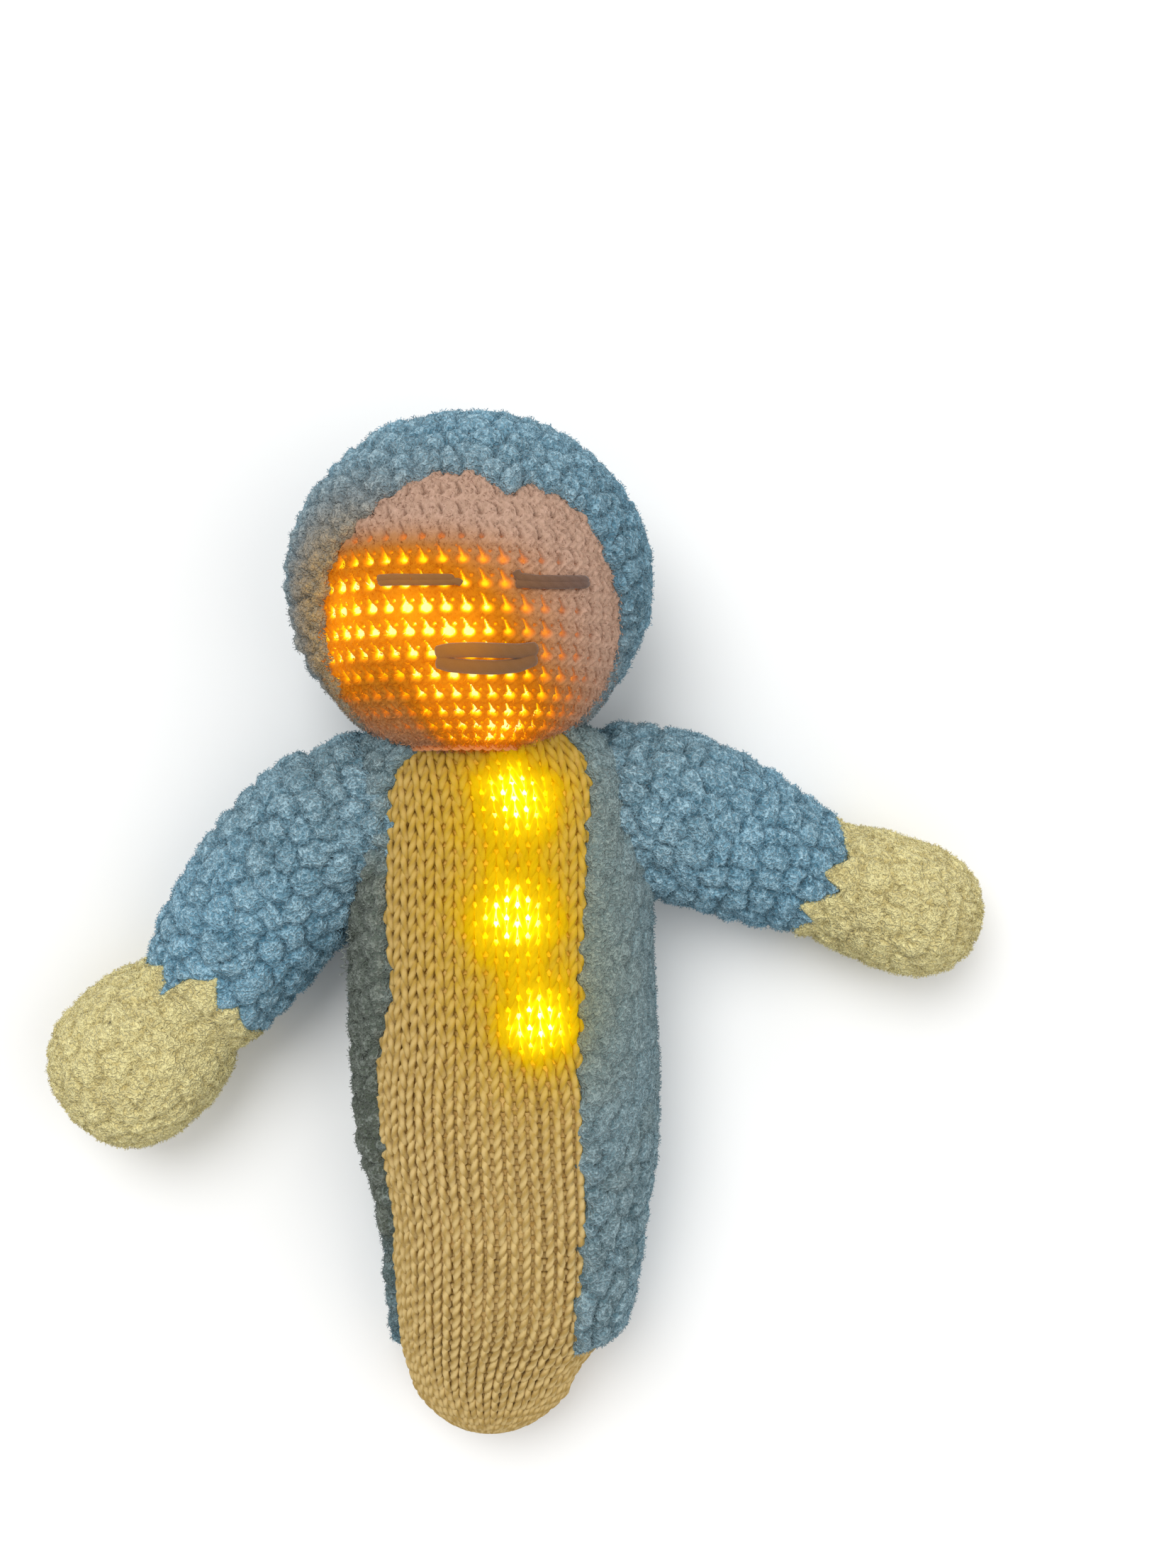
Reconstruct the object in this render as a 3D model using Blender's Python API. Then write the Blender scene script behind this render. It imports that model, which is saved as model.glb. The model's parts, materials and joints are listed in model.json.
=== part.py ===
"""Crocheted doll with lights inside, lying on its back with both arms out.

Metres, +Z up. +Y runs from the toe to the head, +X to the viewer's right of the doll's front, and
+Z out of its front. The origin is the middle of the flat patch between the shoulders that the
back rests on.
"""

import math

import bmesh
import bpy
from mathutils import Matrix, Vector

# Gaps between pieces
SEAM_GAP = 0.0003
SWING_GAP = 0.0005
OVERRUN = 0.005

# Body tube, measured over the coat's yarn
TOE_TO_REST = 0.150
BODY_TOP_BELOW_HEAD = 0.026
COAT_HALF_WIDTH = 0.0445
COAT_HALF_DEPTH = 0.0363
COAT_WALL = 0.0055
PANEL_WALL = 0.003
# Each row: place along the form, half width, half depth, sideways centre, height of the centre.
# Widths and sideways places are shares of the half width, depths and heights of the half depth.
BODY_STATION_SHARES = (
    (0.000, 1.17, 0.98, -0.09, 0.55),
    (0.060, 1.16, 1.00, -0.07, 0.56),
    (0.096, 1.09, 0.99, -0.05, 0.59),
    (0.137, 1.08, 0.99, 0.00, 0.65),
    (0.173, 1.05, 0.99, 0.04, 0.73),
    (0.257, 0.97, 0.98, 0.07, 0.83),
    (0.327, 0.95, 0.97, 0.07, 0.89),
    (0.402, 0.99, 0.98, 0.05, 0.95),
    (0.477, 1.00, 0.99, 0.04, 0.968),
    (0.582, 1.02, 1.015, 0.01, 0.98),
    (0.692, 1.08, 1.08, 0.00, 0.978),
    (0.802, 1.22, 1.17, 0.00, 1.01),
    (0.868, 1.28, 1.20, -0.05, 1.12),
    (0.917, 1.10, 1.16, -0.14, 1.30),
    (0.950, 1.10, 1.30, -0.18, 1.38),
    (1.000, 1.10, 1.30, -0.18, 1.42),
)
BODY_SIDES = 24
BODY_RINGS = 20

# Knitted front: its two edges as seen from the front, and the line where the coat ends at the toe
PANEL_HALF_WIDTH = 0.029
TOE_LINE_FROM_TIP = 0.029
PANEL_SPLIT_HEIGHT = 0.036
# Each row: place from the toe line to the neck, left edge and right edge in shares of the half width.
PANEL_EDGE_SHARES = (
    (0.00, -1.40, 0.76),
    (0.07, -1.30, 0.80),
    (0.20, -1.10, 0.87),
    (0.32, -1.13, 0.83),
    (0.42, -1.17, 0.79),
    (0.54, -1.07, 0.84),
    (0.62, -1.09, 0.87),
    (0.85, -1.03, 0.92),
    (1.00, -1.00, 0.92),
)

# Head
HEAD_OFFSET_X = -0.008
HEAD_FROM_REST = 0.101
HEAD_HEIGHT = 0.052
FACE_RADIUS = 0.045
FACE_HALF_HEIGHT = 0.0435
FACE_WALL = 0.003
FACE_OPENING_RADIUS = 0.008
HOOD_SIDE_WALL = 0.008
HOOD_CROWN_WALL = 0.0065
HOOD_NECK_RADIUS = 0.030
HOOD_WINDOW_HALF_ANGLE = 62.0
HOOD_WINDOW_TILT = 22.0
HOOD_WINDOW_TURN = 4.5
HEAD_SIDES = 24
HEAD_RINGS = 14
NECK_SEAM_RADIUS = 0.0262
NECK_SEAM_FROM_CENTRE = 0.0374
SEAM_YARN_RADIUS = 0.0014

# Embroidered face: spans are shares of the face's radius and drops of its half height, both from
# the head's centre as seen from the front
EYE_YARN_RADIUS = 0.0013
EYE_DROP_SHARE = 0.046
LEFT_EYE_SPAN_SHARES = (-0.50, -0.022)
RIGHT_EYE_SPAN_SHARES = (0.322, 0.767)
MOUTH_YARN_RADIUS = 0.0014
MOUTH_SPAN_SHARES = (-0.167, 0.444)
MOUTH_DROP_SHARE = 0.501
MOUTH_OPENING = 0.0044
MOUTH_END_RISE = 0.0012
EMBROIDERY_POINTS = 9

# Arms: each sleeve runs from its shoulder's centre to its cuff, and the hand's centre lies beyond
SHOULDER_RADIUS = 0.025
SHOULDER_HEIGHT_SHARE = 0.909
SOCKET_RADIUS = 0.027
SHOULDER_SEAM_RADIUS = 0.0006
SHOULDER_SEAM_INSET = 0.0185
SLEEVE_WALL = 0.005
HAND_WALL = 0.005
ARM_SIDES = 16
ARM_RINGS = 14
HAND_RINGS = 10
ROOT_RING_SHARE = 5 / 14
HAND_ROUNDNESS = 2.4
CUFF_OVERRUN = 0.012
FILL_NECK_RADIUS = 0.010
FILL_NECK_REACH = 0.004
BOW_EARLY_SHARE = 0.6
SWEEP_REACH = 0.046
ARM_DOWN_ROOM = -50.0
ARM_UP_ROOM = 30.0
LIFT_LIMITS = (-10.0, 40.0)
ARMS = {
    "left": {
        "shoulder_width_share": -0.831,
        "below_head": 0.069,
        "heading": 223.5,
        "cuff": 0.0790,
        "hand_from_cuff": 0.0207,
        "bow": -0.0085,
        "hand_near_length": 0.0310,
        "hand_far_length": 0.0265,
        "hand_half_width": 0.0262,
        "hand_half_depth": 0.0240,
        "hand_height": 0.0232,
        "radius_shares": (1.00, 1.01, 1.02, 1.01, 0.99, 0.95, 0.86, 0.73, 0.71),
    },
    "right": {
        "shoulder_width_share": 0.854,
        "below_head": 0.064,
        "heading": -18.9,
        "cuff": 0.0620,
        "hand_from_cuff": 0.0238,
        "bow": 0.0030,
        "hand_near_length": 0.0400,
        "hand_far_length": 0.0255,
        "hand_half_width": 0.0215,
        "hand_half_depth": 0.0215,
        "hand_height": 0.0207,
        "radius_shares": (1.00, 1.02, 1.02, 0.99, 0.94, 0.87, 0.80, 0.74, 0.72),
    },
}

# Light string
WIRE_RADIUS = 0.0006
BEAD_RADIUS = 0.0025
BEAD_HALF_LENGTH = 0.0032
BEAD_BORE_RADIUS = 0.0010
BEAD_SIDES = 8
BEAD_RINGS = 5
BEAD_ROOM = 0.0006
CHANNEL_RADIUS = 0.0034
WIRE_STEP = 0.0034
CHANNEL_STEP = 0.0048
WIRE_TAIL = 0.0048
# Chest lights, from the toe end up: sideways place in shares of the coat's half width, and place
# along the body form
CHEST_LIGHT_SHARES = {
    "chest_light_lower": (0.274, 0.5785),
    "chest_light_middle": (0.103, 0.7086),
    "chest_light_upper": (0.121, 0.8536),
}
# Face lights in the order that the wire meets them, from the head's centre as seen from the front,
# in shares of the face's radius and half height
FACE_LIGHT_SHARES = {
    "face_light_chin": (0.171, -0.724),
    "face_light_nose": (0.013, -0.324),
    "face_light_left_cheek": (-0.260, -0.214),
    "face_light_temple": (-0.602, -0.186),
    "face_light_jaw": (-0.607, -0.451),
}
WIRE_NECK_GAP = 0.0003

# Battery box and its cells
CELL_RADIUS = 0.00525
CELL_LENGTH = 0.0445
CELL_NUB_RADIUS = 0.0019
CELL_NUB_LENGTH = 0.0008
CELL_GAP = 0.0003
CONTACT_ROOM = 0.0052
CONTACT_PLATE = 0.0004
CONTACT_HALF_WIDTH = 0.0038
SPRING_TURNS = 2.5
SPRING_POINTS_PER_TURN = 8
SPRING_WIRE_RADIUS = 0.00035
SPRING_WIDE_RADIUS = 0.0034
SPRING_NARROW_RADIUS = 0.0022
BOX_WALL = 0.0015
SWITCH_BAY_LENGTH = 0.0085
BOX_TOP_FROM_REST = -0.0275
SCREW_POST = 0.0054
COVER_LAP_SHARE = 0.85
SCREW_RADIUS = 0.0011
SCREW_HEAD_RADIUS = 0.0021
SCREW_HEAD_HEIGHT = 0.0012
SCREW_LENGTH = 0.0060
SCREW_SLOT = 0.0003
SCREW_SLOT_SHARE = 0.7
BOARD_THICKNESS = 0.0010
SLIDER_TRAVEL = 0.0030
SLIDER_HALF_WIDTH = 0.0020
SLIDER_HALF_LENGTH = 0.0014
SLIDER_PLATE_MARGIN = 0.0012
SLIDER_PLATE_HEIGHT = 0.0010
SLIDER_PROUD = 0.0010
SLIDER_END_MARGIN = 0.0015

# Pouch, flap and its closing strips
POUCH_WALL = 0.0010
FLAP_HALF_WIDTH = 0.0175
FLAP_TOP_FROM_REST = -0.0250
FLAP_LENGTH = 0.0800
FLAP_GAP = 0.0008
BACK_CLEARANCE = 0.0007
STRIP_HALF_WIDTH = 0.0090
STRIP_LENGTH = 0.0075
STRIP_MARGIN = 0.0010
STRIP_THICKNESS = 0.0010

HEAD = Vector((HEAD_OFFSET_X, HEAD_FROM_REST, HEAD_HEIGHT))
HOOD_RADIUS = FACE_RADIUS + HOOD_SIDE_WALL
HOOD_HALF_HEIGHT = FACE_HALF_HEIGHT + HOOD_CROWN_WALL
TOE_Y = -TOE_TO_REST - (COAT_WALL - PANEL_WALL)
BODY_FORM_LENGTH = HEAD_FROM_REST - BODY_TOP_BELOW_HEAD - TOE_Y

COLOURS = {
    "chenille_blue": ((0.19, 0.32, 0.38), 0.95, 0.0),
    "chenille_cream": ((0.69, 0.63, 0.29), 0.95, 0.0),
    "knit_cream": ((0.60, 0.43, 0.13), 0.85, 0.0),
    "crochet_peach": ((0.62, 0.34, 0.24), 0.85, 0.0),
    "embroidery_plum": ((0.10, 0.055, 0.045), 0.8, 0.0),
    "polyester_fill": ((0.85, 0.85, 0.82), 0.95, 0.0),
    "warm_resin": ((1.0, 0.62, 0.12), 0.25, 0.0),
    "copper_wire": ((0.72, 0.40, 0.20), 0.35, 1.0),
    "white_abs": ((0.80, 0.80, 0.78), 0.45, 0.0),
    "black_nylon": ((0.03, 0.03, 0.035), 0.8, 0.0),
    "nickel": ((0.66, 0.62, 0.57), 0.3, 1.0),
    "cell_jacket": ((0.08, 0.16, 0.10), 0.4, 0.0),
    "circuit_green": ((0.02, 0.16, 0.07), 0.5, 0.0),
}


def cleared_scene() -> tuple:
    """Removes what the scene holds and makes one collection for parts and one for cutters."""
    for old in list(bpy.data.objects):
        bpy.data.objects.remove(old)
    parts = bpy.data.collections.new("light_up_doll")
    cutters = bpy.data.collections.new("cutters")
    for collection in (parts, cutters):
        bpy.context.scene.collection.children.link(collection)
    cutters.hide_render = True
    return parts, cutters


PARTS, CUTTERS = cleared_scene()


def finish_of(slot):
    """The material of that name, made once."""
    if slot in bpy.data.materials:
        return bpy.data.materials[slot]
    colour, roughness, metallic = COLOURS[slot]
    material = bpy.data.materials.new(slot)
    material.use_nodes = True
    shader = material.node_tree.nodes["Principled BSDF"]
    shader.inputs["Base Color"].default_value = (*colour, 1.0)
    shader.inputs["Roughness"].default_value = roughness
    shader.inputs["Metallic"].default_value = metallic
    return material


def placed(name, mesh, slot=None, smooth=False):
    """An object in the parts collection if it has a finish, else a cutter."""
    piece = bpy.data.objects.new(name, mesh)
    if slot:
        PARTS.objects.link(piece)
        mesh.materials.append(finish_of(slot))
    else:
        CUTTERS.objects.link(piece)
        piece.hide_render = True
        piece.display_type = "WIRE"
    if smooth:
        mesh.shade_smooth()
    return piece


def mesh_of(name, bm):
    """The bmesh as a mesh whose faces point out."""
    bmesh.ops.recalc_face_normals(bm, faces=bm.faces)
    mesh = bpy.data.meshes.new(name)
    bm.to_mesh(mesh)
    bm.free()
    return mesh


def cut(piece, *cutters, operation="DIFFERENCE"):
    """Adds one exact Boolean for each cutter."""
    for cutter in cutters:
        modifier = piece.modifiers.new(cutter.name, "BOOLEAN")
        modifier.object = cutter
        modifier.operation = operation
        modifier.solver = "EXACT"
    return piece


def smooth_value(rows, column, share):
    """One column of a table at a share of its length, on a smooth curve through the rows."""
    last = len(rows) - 1
    index = max(i for i in range(last) if rows[i][0] <= share or i == 0)

    def slope(i):
        before, after = rows[max(i - 1, 0)], rows[min(i + 1, last)]
        return (after[column] - before[column]) / (after[0] - before[0])

    start, end = rows[index], rows[index + 1]
    span = end[0] - start[0]
    t = (share - start[0]) / span
    rise = end[column] - start[column]
    bend_start = slope(index) * span - rise
    bend_end = rise - slope(index + 1) * span
    return start[column] + t * rise + t * (1 - t) * ((1 - t) * bend_start + t * bend_end)


def box(name, low, high, slot=None):
    """A box between two corners."""
    bm = bmesh.new()
    bmesh.ops.create_cube(bm, size=1)
    low, high = Vector(low), Vector(high)
    bmesh.ops.scale(bm, vec=high - low, verts=bm.verts)
    bmesh.ops.translate(bm, vec=(low + high) / 2, verts=bm.verts)
    return placed(name, mesh_of(name, bm), slot)


def rod(name, start, end, radius, sides, slot=None, end_radius=None):
    """A cylinder or cone between two points."""
    start, end = Vector(start), Vector(end)
    run = end - start
    bm = bmesh.new()
    bmesh.ops.create_cone(
        bm,
        cap_ends=True,
        segments=sides,
        radius1=radius,
        radius2=radius if end_radius is None else end_radius,
        depth=run.length,
    )
    turn = Vector((0, 0, 1)).rotation_difference(run).to_matrix().to_4x4()
    bmesh.ops.transform(bm, matrix=Matrix.Translation((start + end) / 2) @ turn, verts=bm.verts)
    return placed(name, mesh_of(name, bm), slot, smooth=slot is not None)


def swollen(name, section, sides, rings, slot=None, grow=0.0):
    """A closed ball whose rings are sent to the places and half sizes that section(share) gives.

    section returns a centre and two half-axis vectors for a share from 0 to 1 of the rings.
    grow moves the whole surface out along its own normals.
    """
    bm = bmesh.new()
    bmesh.ops.create_uvsphere(bm, u_segments=sides, v_segments=rings, radius=1)
    for vert in bm.verts:
        share = math.asin(max(-1.0, min(1.0, vert.co.z))) / math.pi + 0.5
        centre, across, upright = section(share)
        around = math.atan2(vert.co.y, vert.co.x)
        vert.co = centre + across * math.cos(around) + upright * math.sin(around)
    bm.normal_update()
    bmesh.ops.recalc_face_normals(bm, faces=bm.faces)
    bm.normal_update()
    moves = [(vert, vert.normal * grow) for vert in bm.verts]
    for vert, move in moves:
        vert.co += move
    return placed(name, mesh_of(name, bm), slot, smooth=True)


def smooth_route(points, step):
    """Points about a step apart on a smooth curve through the given ones."""
    points = [Vector(point) for point in points]
    walked = [0.0]
    for before, after in zip(points, points[1:]):
        walked.append(walked[-1] + (after - before).length)
    rows = [(d / walked[-1], *point) for d, point in zip(walked, points)]
    count = max(2, round(walked[-1] / step))
    shares = [i / count for i in range(count + 1)]
    return [Vector([smooth_value(rows, axis, share) for axis in (1, 2, 3)]) for share in shares]


def tube(name, points, radius, slot=None, resolution=2):
    """A filled round tube along the points; as a cutter it is made a welded mesh."""
    curve = bpy.data.curves.new(name, "CURVE")
    curve.dimensions = "3D"
    curve.bevel_depth = radius
    curve.bevel_resolution = resolution
    curve.use_fill_caps = True
    spline = curve.splines.new("POLY")
    spline.points.add(len(points) - 1)
    for target, point in zip(spline.points, points):
        target.co = (*point, 1.0)
    if slot:
        piece = bpy.data.objects.new(name, curve)
        PARTS.objects.link(piece)
        curve.materials.append(finish_of(slot))
        return piece
    helper = bpy.data.objects.new(name + "_curve", curve)
    CUTTERS.objects.link(helper)
    graph = bpy.context.evaluated_depsgraph_get()
    mesh = bpy.data.meshes.new_from_object(helper.evaluated_get(graph))
    bpy.data.objects.remove(helper)
    bm = bmesh.new()
    bm.from_mesh(mesh)
    bmesh.ops.remove_doubles(bm, verts=bm.verts, dist=radius / 100)
    return placed(name, mesh_of(name, bm))


def ring(name, centre, axis, radius, thickness, slot=None, sides=24, around=6):
    """A round ring of yarn about an axis."""
    bpy.ops.mesh.primitive_torus_add(
        major_segments=sides, minor_segments=around, major_radius=radius, minor_radius=thickness
    )
    made = bpy.context.object
    mesh = made.data
    bpy.data.objects.remove(made)
    mesh.name = name
    turn = Vector((0, 0, 1)).rotation_difference(Vector(axis)).to_matrix().to_4x4()
    mesh.transform(Matrix.Translation(centre) @ turn)
    return placed(name, mesh, slot, smooth=True)


def body_section(share):
    """Centre and half sizes of the body tube over the coat's yarn, at a share of its rings."""
    along = (1 - math.cos(math.pi * share)) / 2
    rounding = math.sin(math.pi * share)
    width, depth, side, height = (
        smooth_value(BODY_STATION_SHARES, column, along) for column in (1, 2, 3, 4)
    )
    centre = Vector(
        (side * COAT_HALF_WIDTH, TOE_Y + along * BODY_FORM_LENGTH, height * COAT_HALF_DEPTH)
    )
    across = Vector((width * rounding * COAT_HALF_WIDTH, 0, 0))
    upright = Vector((0, 0, depth * rounding * COAT_HALF_DEPTH))
    return centre, across, upright


def body_height(x, y, depth, way):
    """Height of a point at a depth under the coat's yarn, on the front (way 1) or back (way -1)."""
    along = (y - TOE_Y) / BODY_FORM_LENGTH
    centre, across, upright = body_section(math.acos(1 - 2 * along) / math.pi)
    share = (x - centre.x) / across.x
    return centre.z + way * (upright.z * math.sqrt(1 - share * share) - depth)


def above_back(half_width, low, high):
    """Lowest height at which a level sheet clears the inside of the coat's back."""
    places = [(x, y) for x in (-half_width, half_width) for y in (low, (low + high) / 2, high)]
    return max(body_height(x, y, COAT_WALL, -1) for x, y in places) + BACK_CLEARANCE


def ball_section(centre, radius, half_height):
    """Section function of a ball whose poles lie along Y."""

    def section(share):
        angle = math.pi * (share - 0.5)
        middle = Vector(centre) + Vector((0, half_height * math.sin(angle), 0))
        size = radius * math.cos(angle)
        return middle, Vector((size, 0, 0)), Vector((0, 0, size))

    return section


def on_face(x, y, lift):
    """Point of the face as seen from the front, x and y from the head's centre, raised by lift."""
    radius, half_height = FACE_RADIUS + lift, FACE_HALF_HEIGHT + lift
    height = radius * math.sqrt(1 - (x / radius) ** 2 - (y / half_height) ** 2)
    return HEAD + Vector((x, y, height))


def panel_outline(name, margin, low, high):
    """The knitted front's outline as seen from the front, as a solid from low to high."""
    toe_line = TOE_Y + TOE_LINE_FROM_TIP
    top = TOE_Y + BODY_FORM_LENGTH + OVERRUN
    left, right = [], []
    for share, left_edge, right_edge in PANEL_EDGE_SHARES:
        y = toe_line + share * (top - toe_line)
        left.append((left_edge * PANEL_HALF_WIDTH - margin, y))
        right.append((right_edge * PANEL_HALF_WIDTH + margin, y))
    left[0] = (left[0][0], toe_line - OVERRUN)
    right[0] = (right[0][0], toe_line - OVERRUN)
    curve = bpy.data.curves.new(name, "CURVE")
    curve.dimensions = "2D"
    curve.fill_mode = "BOTH"
    curve.extrude = (high - low) / 2
    spline = curve.splines.new("POLY")
    outline = left + right[::-1]
    spline.points.add(len(outline) - 1)
    for target, (x, y) in zip(spline.points, outline):
        target.co = (x, y, 0, 1)
    spline.use_cyclic_u = True
    helper = bpy.data.objects.new(name + "_curve", curve)
    CUTTERS.objects.link(helper)
    graph = bpy.context.evaluated_depsgraph_get()
    mesh = bpy.data.meshes.new_from_object(helper.evaluated_get(graph))
    bpy.data.objects.remove(helper)
    bm = bmesh.new()
    bm.from_mesh(mesh)
    bmesh.ops.remove_doubles(bm, verts=bm.verts, dist=SEAM_GAP / 100)
    bmesh.ops.translate(bm, vec=(0, 0, (low + high) / 2), verts=bm.verts)
    return placed(name, mesh_of(name, bm))


def panel_field(name, margin):
    """Everything that the knit covers: the front between its edges, and the whole toe."""
    top = 3 * COAT_HALF_DEPTH
    side = 2 * COAT_HALF_WIDTH
    field = panel_outline(name, margin, PANEL_SPLIT_HEIGHT - margin, top)
    toe_low = (-side, TOE_Y - OVERRUN, -OVERRUN)
    toe_high = (side, TOE_Y + TOE_LINE_FROM_TIP + margin, top + OVERRUN)
    toe = box(name + "_toe", toe_low, toe_high)
    return cut(field, toe, operation="UNION")


def shoulder_of(arm):
    """The centre of the ball that a sleeve starts from."""
    x = arm["shoulder_width_share"] * COAT_HALF_WIDTH
    return Vector((x, HEAD.y - arm["below_head"], SHOULDER_HEIGHT_SHARE * COAT_HALF_DEPTH))


def hand_drop(arm):
    """How far the hand's centre lies above the shoulder's."""
    return arm["hand_height"] - SHOULDER_HEIGHT_SHARE * COAT_HALF_DEPTH


def arm_section(arm, ring_share):
    """Centre and half sizes of a sleeve along its own X axis, from the ball at its shoulder."""
    if ring_share < ROOT_RING_SHARE:
        angle = math.pi / 2 * (ring_share / ROOT_RING_SHARE - 1)
        size = SHOULDER_RADIUS * math.cos(angle)
        return Vector((SHOULDER_RADIUS * math.sin(angle), 0, 0)), size
    share = (ring_share - ROOT_RING_SHARE) / (1 - ROOT_RING_SHARE)
    shares = arm["radius_shares"]
    rows = [(i / (len(shares) - 1), value) for i, value in enumerate(shares)]
    along = share * (arm["cuff"] + CUFF_OVERRUN)
    cuff_share = min(1.0, along / arm["cuff"])
    bow = arm["bow"] * math.sin(math.pi * cuff_share**BOW_EARLY_SHARE)
    drop = hand_drop(arm) * cuff_share
    size = 0.0 if ring_share > 0.999 else SHOULDER_RADIUS * smooth_value(rows, 1, share)
    return Vector((along, bow, drop)), size


def sleeve_section(arm):
    """Section function of a sleeve in its arm's own frame."""

    def section(ring_share):
        centre, size = arm_section(arm, ring_share)
        return centre, Vector((0, size, 0)), Vector((0, 0, size))

    return section


def hand_section(arm):
    """Section function of a hand in its arm's own frame."""
    drop = hand_drop(arm)
    reach = arm["cuff"] + arm["hand_from_cuff"]

    def section(share):
        way = math.sin(math.pi * (share - 0.5))
        length = arm["hand_near_length"] if way < 0 else arm["hand_far_length"]
        along = reach + length * way
        size = max(0.0, 1 - abs(way) ** HAND_ROUNDNESS) ** (1 / HAND_ROUNDNESS)
        across = Vector((0, arm["hand_half_width"] * size, 0))
        upright = Vector((0, 0, arm["hand_half_depth"] * size))
        return Vector((along, 0, drop)), across, upright

    return section


def arm_frame(arm):
    """Matrix from an arm's own frame, X along the arm from the shoulder's centre, to the world."""
    turn = Matrix.Rotation(math.radians(arm["heading"]), 4, "Z")
    return Matrix.Translation(shoulder_of(arm)) @ turn


def swing_room(arm):
    """Lowest and highest swing from rest that the coat leaves room for, in degrees of raising."""
    rest = 180 - arm["heading"] if arm["heading"] > 90 else arm["heading"]
    return ARM_DOWN_ROOM - rest, ARM_UP_ROOM - rest


def arm_sweep(name, arm, root):
    """The hull of every place that the sleeve's root takes as it swings and lifts."""
    raising = -1 if arm["heading"] > 90 else 1
    low, high = swing_room(arm)
    shoulder = Matrix.Translation(shoulder_of(arm))
    heading = Matrix.Rotation(math.radians(arm["heading"]), 4, "Z")
    near = [v.co.copy() for v in root.data.vertices if v.co.x < SWEEP_REACH]
    bm = bmesh.new()
    for swing in (low, low / 2 + high / 2, high):
        turn = Matrix.Rotation(math.radians(raising * swing), 4, "Z")
        for lift in LIFT_LIMITS:
            rise = Matrix.Rotation(math.radians(-lift), 4, "Y")
            for point in near:
                bm.verts.new(shoulder @ turn @ heading @ rise @ point)
    hull = bmesh.ops.convex_hull(bm, input=bm.verts)
    loose = [g for g in hull["geom_interior"] if isinstance(g, bmesh.types.BMVert)]
    bmesh.ops.delete(bm, geom=loose, context="VERTS")
    bmesh.ops.dissolve_limit(bm, angle_limit=math.radians(4), verts=bm.verts, edges=bm.edges)
    bmesh.ops.triangulate(bm, faces=bm.faces)
    return placed(name, mesh_of(name, bm))


def framed(piece, frame, name):
    """Parents a piece, whose mesh is in the frame's own coordinates, to an empty there."""
    empty = bpy.data.objects.get(name)
    if empty is None:
        empty = bpy.data.objects.new(name, None)
        PARTS.objects.link(empty)
        empty.matrix_world = frame
    piece.parent = empty
    return piece


def carried(piece, frame, name):
    """Gives a piece made in world coordinates the frame of its joint, and parents it there."""
    piece.data.transform(frame.inverted())
    return framed(piece, frame, name)


def build_arm(side, arm, floor):
    """One arm: sleeve, hand, fill and the yarn loop that sews it on. Returns its two body cutters."""
    frame = arm_frame(arm)
    pivot = side + "_shoulder_pivot"
    sleeve_shape, hand_shape = sleeve_section(arm), hand_section(arm)
    far = arm["cuff"] + arm["hand_from_cuff"] + 2 * arm["hand_far_length"]
    wide = 2 * SHOULDER_RADIUS

    def helper(name, section, rings, grow):
        shape = swollen(side + name, section, ARM_SIDES, rings, grow=grow)
        return framed(shape, frame, pivot)

    beyond = box(side + "_beyond_cuff", (arm["cuff"], -wide, -wide), (far, wide, wide))
    before = box(side + "_before_cuff", (-wide, -wide, -wide), (arm["cuff"] + SEAM_GAP, wide, wide))
    for cutter in (beyond, before):
        framed(cutter, frame, pivot)

    sleeve = swollen(side + "_sleeve", sleeve_shape, ARM_SIDES, ARM_RINGS, "chenille_blue")
    framed(sleeve, frame, pivot)
    cut(sleeve, helper("_sleeve_inside", sleeve_shape, ARM_RINGS, -SLEEVE_WALL), beyond)

    hand = swollen(side + "_hand", hand_shape, ARM_SIDES, HAND_RINGS, "chenille_cream")
    framed(hand, frame, pivot)
    cut(hand, helper("_hand_inside", hand_shape, HAND_RINGS, -HAND_WALL), before, floor)

    fill_gap = -SLEEVE_WALL - SEAM_GAP
    name = side + "_arm_stuffing"
    fill = swollen(name, sleeve_shape, ARM_SIDES, ARM_RINGS, "polyester_fill", fill_gap)
    framed(fill, frame, pivot)
    hand_fill = helper("_hand_fill", hand_shape, HAND_RINGS, -HAND_WALL - SEAM_GAP)
    cut(hand_fill, before)
    neck_ends = [(arm["cuff"] + way * FILL_NECK_REACH, 0, hand_drop(arm)) for way in (-1, 1)]
    neck = rod(side + "_fill_neck", *neck_ends, FILL_NECK_RADIUS, ARM_SIDES)
    framed(neck, frame, pivot)
    cut(fill, beyond)
    cut(fill, neck, hand_fill, operation="UNION")

    mid_radius = (SHOULDER_RADIUS + SOCKET_RADIUS) / 2
    seam = ring(
        side + "_shoulder_seam",
        (-SHOULDER_SEAM_INSET, 0, 0),
        (1, 0, 0),
        math.sqrt(mid_radius**2 - SHOULDER_SEAM_INSET**2),
        SHOULDER_SEAM_RADIUS,
        "chenille_blue",
        sides=20,
        around=4,
    )
    framed(seam, frame, pivot)

    socket_shape = ball_section(shoulder_of(arm), SOCKET_RADIUS, SOCKET_RADIUS)
    socket = swollen(side + "_socket", socket_shape, HEAD_SIDES, HEAD_RINGS)
    swept = swollen(side + "_swept", sleeve_shape, ARM_SIDES, ARM_RINGS, grow=SWING_GAP)
    sweep = arm_sweep(side + "_sweep", arm, swept)
    bpy.data.objects.remove(swept)
    return socket, sweep


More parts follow.
